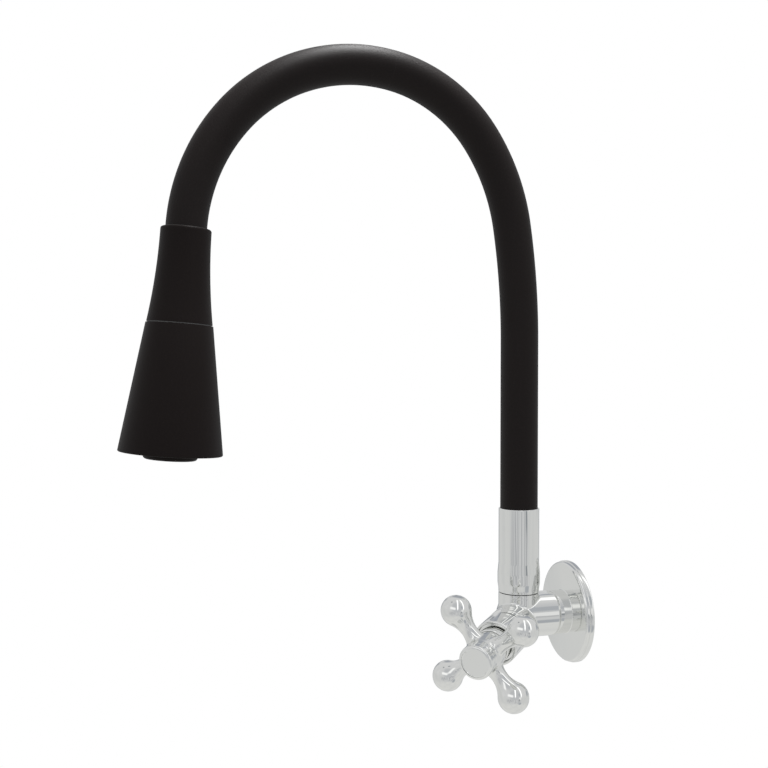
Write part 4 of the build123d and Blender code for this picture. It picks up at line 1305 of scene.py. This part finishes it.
def nozzle_pad(top, down, face_low, face_high):
    """Soft mat behind the spray face whose nozzles stand through the face's holes."""
    outline = [
        (MAT_INNER, face_low - MAT_HEIGHT, MAT_EDGE),
        (MAT_INNER, face_low),
        (MAT_OUTER, face_low),
        (MAT_OUTER, face_low - MAT_HEIGHT, MAT_EDGE),
    ]
    pad = turned("nozzle_pad", top, down, outline)
    nozzle = [
        (NOZZLE_BORE, face_low - MAT_HEIGHT / 2),
        (NOZZLE_RADIUS, face_low - MAT_HEIGHT / 2),
        (NOZZLE_RADIUS, face_high + NOZZLE_DROP, NOZZLE_TIP),
        (NOZZLE_BORE, face_high + NOZZLE_DROP, NOZZLE_TIP / 4),
    ]
    piece = joined("nozzle_pad", *ring_of_nozzles(top, down, nozzle), pad)
    set_in_place(piece)
    fit_out(piece, "spray_head", "grey_silicone", "nozzle_mat")


def white_to_camera(tree, inner, kind, output):
    """Shows plain white to the camera, and the inner shader to what is lit or mirrors it."""
    white = add_node(tree, kind)
    feed(tree, white.inputs["Color"], (1, 1, 1, 1))
    mix = add_node(tree, "ShaderNodeMixShader")
    feed(tree, mix.inputs["Fac"], add_node(tree, "ShaderNodeLightPath").outputs["Is Camera Ray"])
    feed(tree, mix.inputs[1], inner.outputs[0])
    feed(tree, mix.inputs[2], white.outputs[0])
    feed(tree, output.inputs["Surface"], mix.outputs["Shader"])


def studio_floor():
    """Plain pale floor that no mirror shows."""
    nothing_selected()
    bpy.ops.mesh.primitive_circle_add(
        vertices=HOSE_SIDES,
        radius=FLOOR_RADIUS * MM,
        fill_type="NGON",
        location=(0, 0, -FLOOR_DROP * MM),
    )
    piece = bpy.context.object
    piece.name = "studio_floor"
    bpy.ops.object.transform_apply(location=True, rotation=True, scale=True)
    finish = bpy.data.materials.new("pale_floor")
    finish.use_nodes = True
    tree = finish.node_tree
    shader = tree.nodes["Principled BSDF"]
    feed(tree, shader.inputs["Base Color"], (*FLOOR_COLOUR, 1))
    feed(tree, shader.inputs["Roughness"], FLOOR_ROUGHNESS)
    white_to_camera(tree, shader, "ShaderNodeEmission", tree.nodes["Material Output"])
    piece.data.materials.append(finish)
    piece.visible_glossy = False


def seen_from_camera(right, up, near):
    """Turns a direction given to the camera's right, up and towards it into the frame's."""
    heading = atan2(PHOTO_PLACE.y + REACH, PHOTO_PLACE.x)
    towards = Vector((cos(heading), sin(heading), 0))
    return (UP.cross(towards) * right + UP * up + towards * near).normalized()


def along(tree, way, direction):
    """How far a ray points along a direction."""
    node = add_node(tree, "ShaderNodeVectorMath", operation="DOT_PRODUCT")
    feed(tree, node.inputs[0], way)
    feed(tree, node.inputs[1], direction)
    return node.outputs["Value"]


def hang_panel(tree, cloth, way, streaks, towards, reach, colour, strip=None, streaky=None):
    """Lays a round panel on the tent's cloth, or a strip of it, and fades it by the streaks."""
    wide, narrow = PANEL_FADE
    mask = spread(
        tree,
        along(tree, way, seen_from_camera(*towards)),
        low=cos(radians(reach * wide)),
        high=cos(radians(reach * narrow)),
    )
    if strip:
        pole, offset, half, edge = strip
        beside = math_node(tree, "SUBTRACT", along(tree, way, seen_from_camera(*pole)), offset)
        away = math_node(tree, "ABSOLUTE", beside)
        inside = spread(tree, away, half - edge, half + edge, to_low=1.0, to_high=0.0)
        mask = math_node(tree, "MULTIPLY", mask, inside)
    if streaky:
        mask = math_node(tree, "MULTIPLY", mask, spread(tree, streaks, *streaky))
    return blend_colours(tree, mask, cloth, colour)


def studio_tent():
    """A pale tent round the tap. The camera sees it white, the metal its lamps and panels."""
    world = bpy.data.worlds.new("studio_tent")
    world.use_nodes = True
    bpy.context.scene.world = world
    tree = world.node_tree
    way = add_node(tree, "ShaderNodeTexCoord").outputs["Generated"]
    split = add_node(tree, "ShaderNodeSeparateXYZ")
    feed(tree, split.inputs["Vector"], way)
    rise = split.outputs["Z"]
    cloth = blend_colours(tree, spread(tree, rise, *FLOOR_TO_WALL), TENT_FLOOR, TENT_WALL)
    cloth = blend_colours(tree, spread(tree, rise, *WALL_TO_ROOF), cloth, TENT_ROOF)
    folds = spread(tree, noise(tree, way, FOLD_SCALE, detail=3.0, roughness=0.6), *FOLD_RANGE)
    shaded = math_node(tree, "MULTIPLY", folds, FOLD_STRENGTH)
    cloth = blend_colours(tree, shaded, cloth, TENT_FOLD)
    stretched = add_node(tree, "ShaderNodeVectorMath", operation="MULTIPLY")
    feed(tree, stretched.inputs[0], way)
    feed(tree, stretched.inputs[1], STREAK_STRETCH)
    streaks = noise(tree, stretched.outputs["Vector"], 1.0, roughness=0.55)
    for values in PANELS:
        cloth = hang_panel(tree, cloth, way, streaks, **values)
    lining = tree.nodes["Background"]
    feed(tree, lining.inputs["Color"], cloth)
    white_to_camera(tree, lining, "ShaderNodeBackground", tree.nodes["World Output"])


def keep_out_of_mirrors():
    """The photograph's chrome shows neither hose nor spray head, so mirrors leave them out."""
    for piece in bpy.context.scene.objects:
        if piece.type == "MESH" and max(top for *_, top in piece.bound_box) > HOSE_SEEN * MM:
            piece.visible_glossy = False


def black_pieces():
    """The matt black pieces, which the lamps light. The chrome is lit by the tent."""
    lit = bpy.data.collections.new("matt_black")
    blacks = (FINISHES["hose_rubber"], FINISHES["black_abs"])
    for piece in bpy.context.scene.objects:
        if piece.type == "MESH" and piece.data.materials and piece.data.materials[0] in blacks:
            lit.objects.link(piece)
    return lit


def soft_light(name, across, out, lit):
    """A soft lamp that hangs over the tap, points straight down and lights only these pieces."""
    data = bpy.data.lights.new(name, "AREA")
    data.shape = "RECTANGLE"
    data.size = LAMP_WIDTH * MM
    data.size_y = LAMP_DEPTH * MM
    data.energy = LAMP_POWER
    light = bpy.data.objects.new(name, data)
    light.location = Vector((across, out, LAMP_HEIGHT)) * MM
    light.light_linking.receiver_collection = lit
    bpy.context.collection.objects.link(light)


def photo_camera():
    """Camera where the photograph was taken from, with its lens."""
    data = bpy.data.cameras.new("photo_camera")
    data.lens = PHOTO_LENS
    camera = bpy.data.objects.new("photo_camera", data)
    camera.location = PHOTO_PLACE * MM
    camera.rotation_euler = (pi / 2 - PHOTO_DIP, 0, PHOTO_TURN)
    bpy.context.collection.objects.link(camera)
    bpy.context.scene.camera = camera


dress_solids()
wall_flange()
tap_casting()
valve_sleeve()
cross_grip()
grip_cap()
swivel_ring()
socket_tube()
neck_top, head_down = hose()
head_neck(neck_top, head_down)
head_cone(neck_top, head_down)
head_face(neck_top, head_down)
studio_floor()
studio_tent()
keep_out_of_mirrors()
lit_pieces = black_pieces()
for lamp, across, out in LAMP_PLACES:
    soft_light(lamp, across, out, lit_pieces)
photo_camera()
bpy.context.scene.view_settings.view_transform = "Standard"
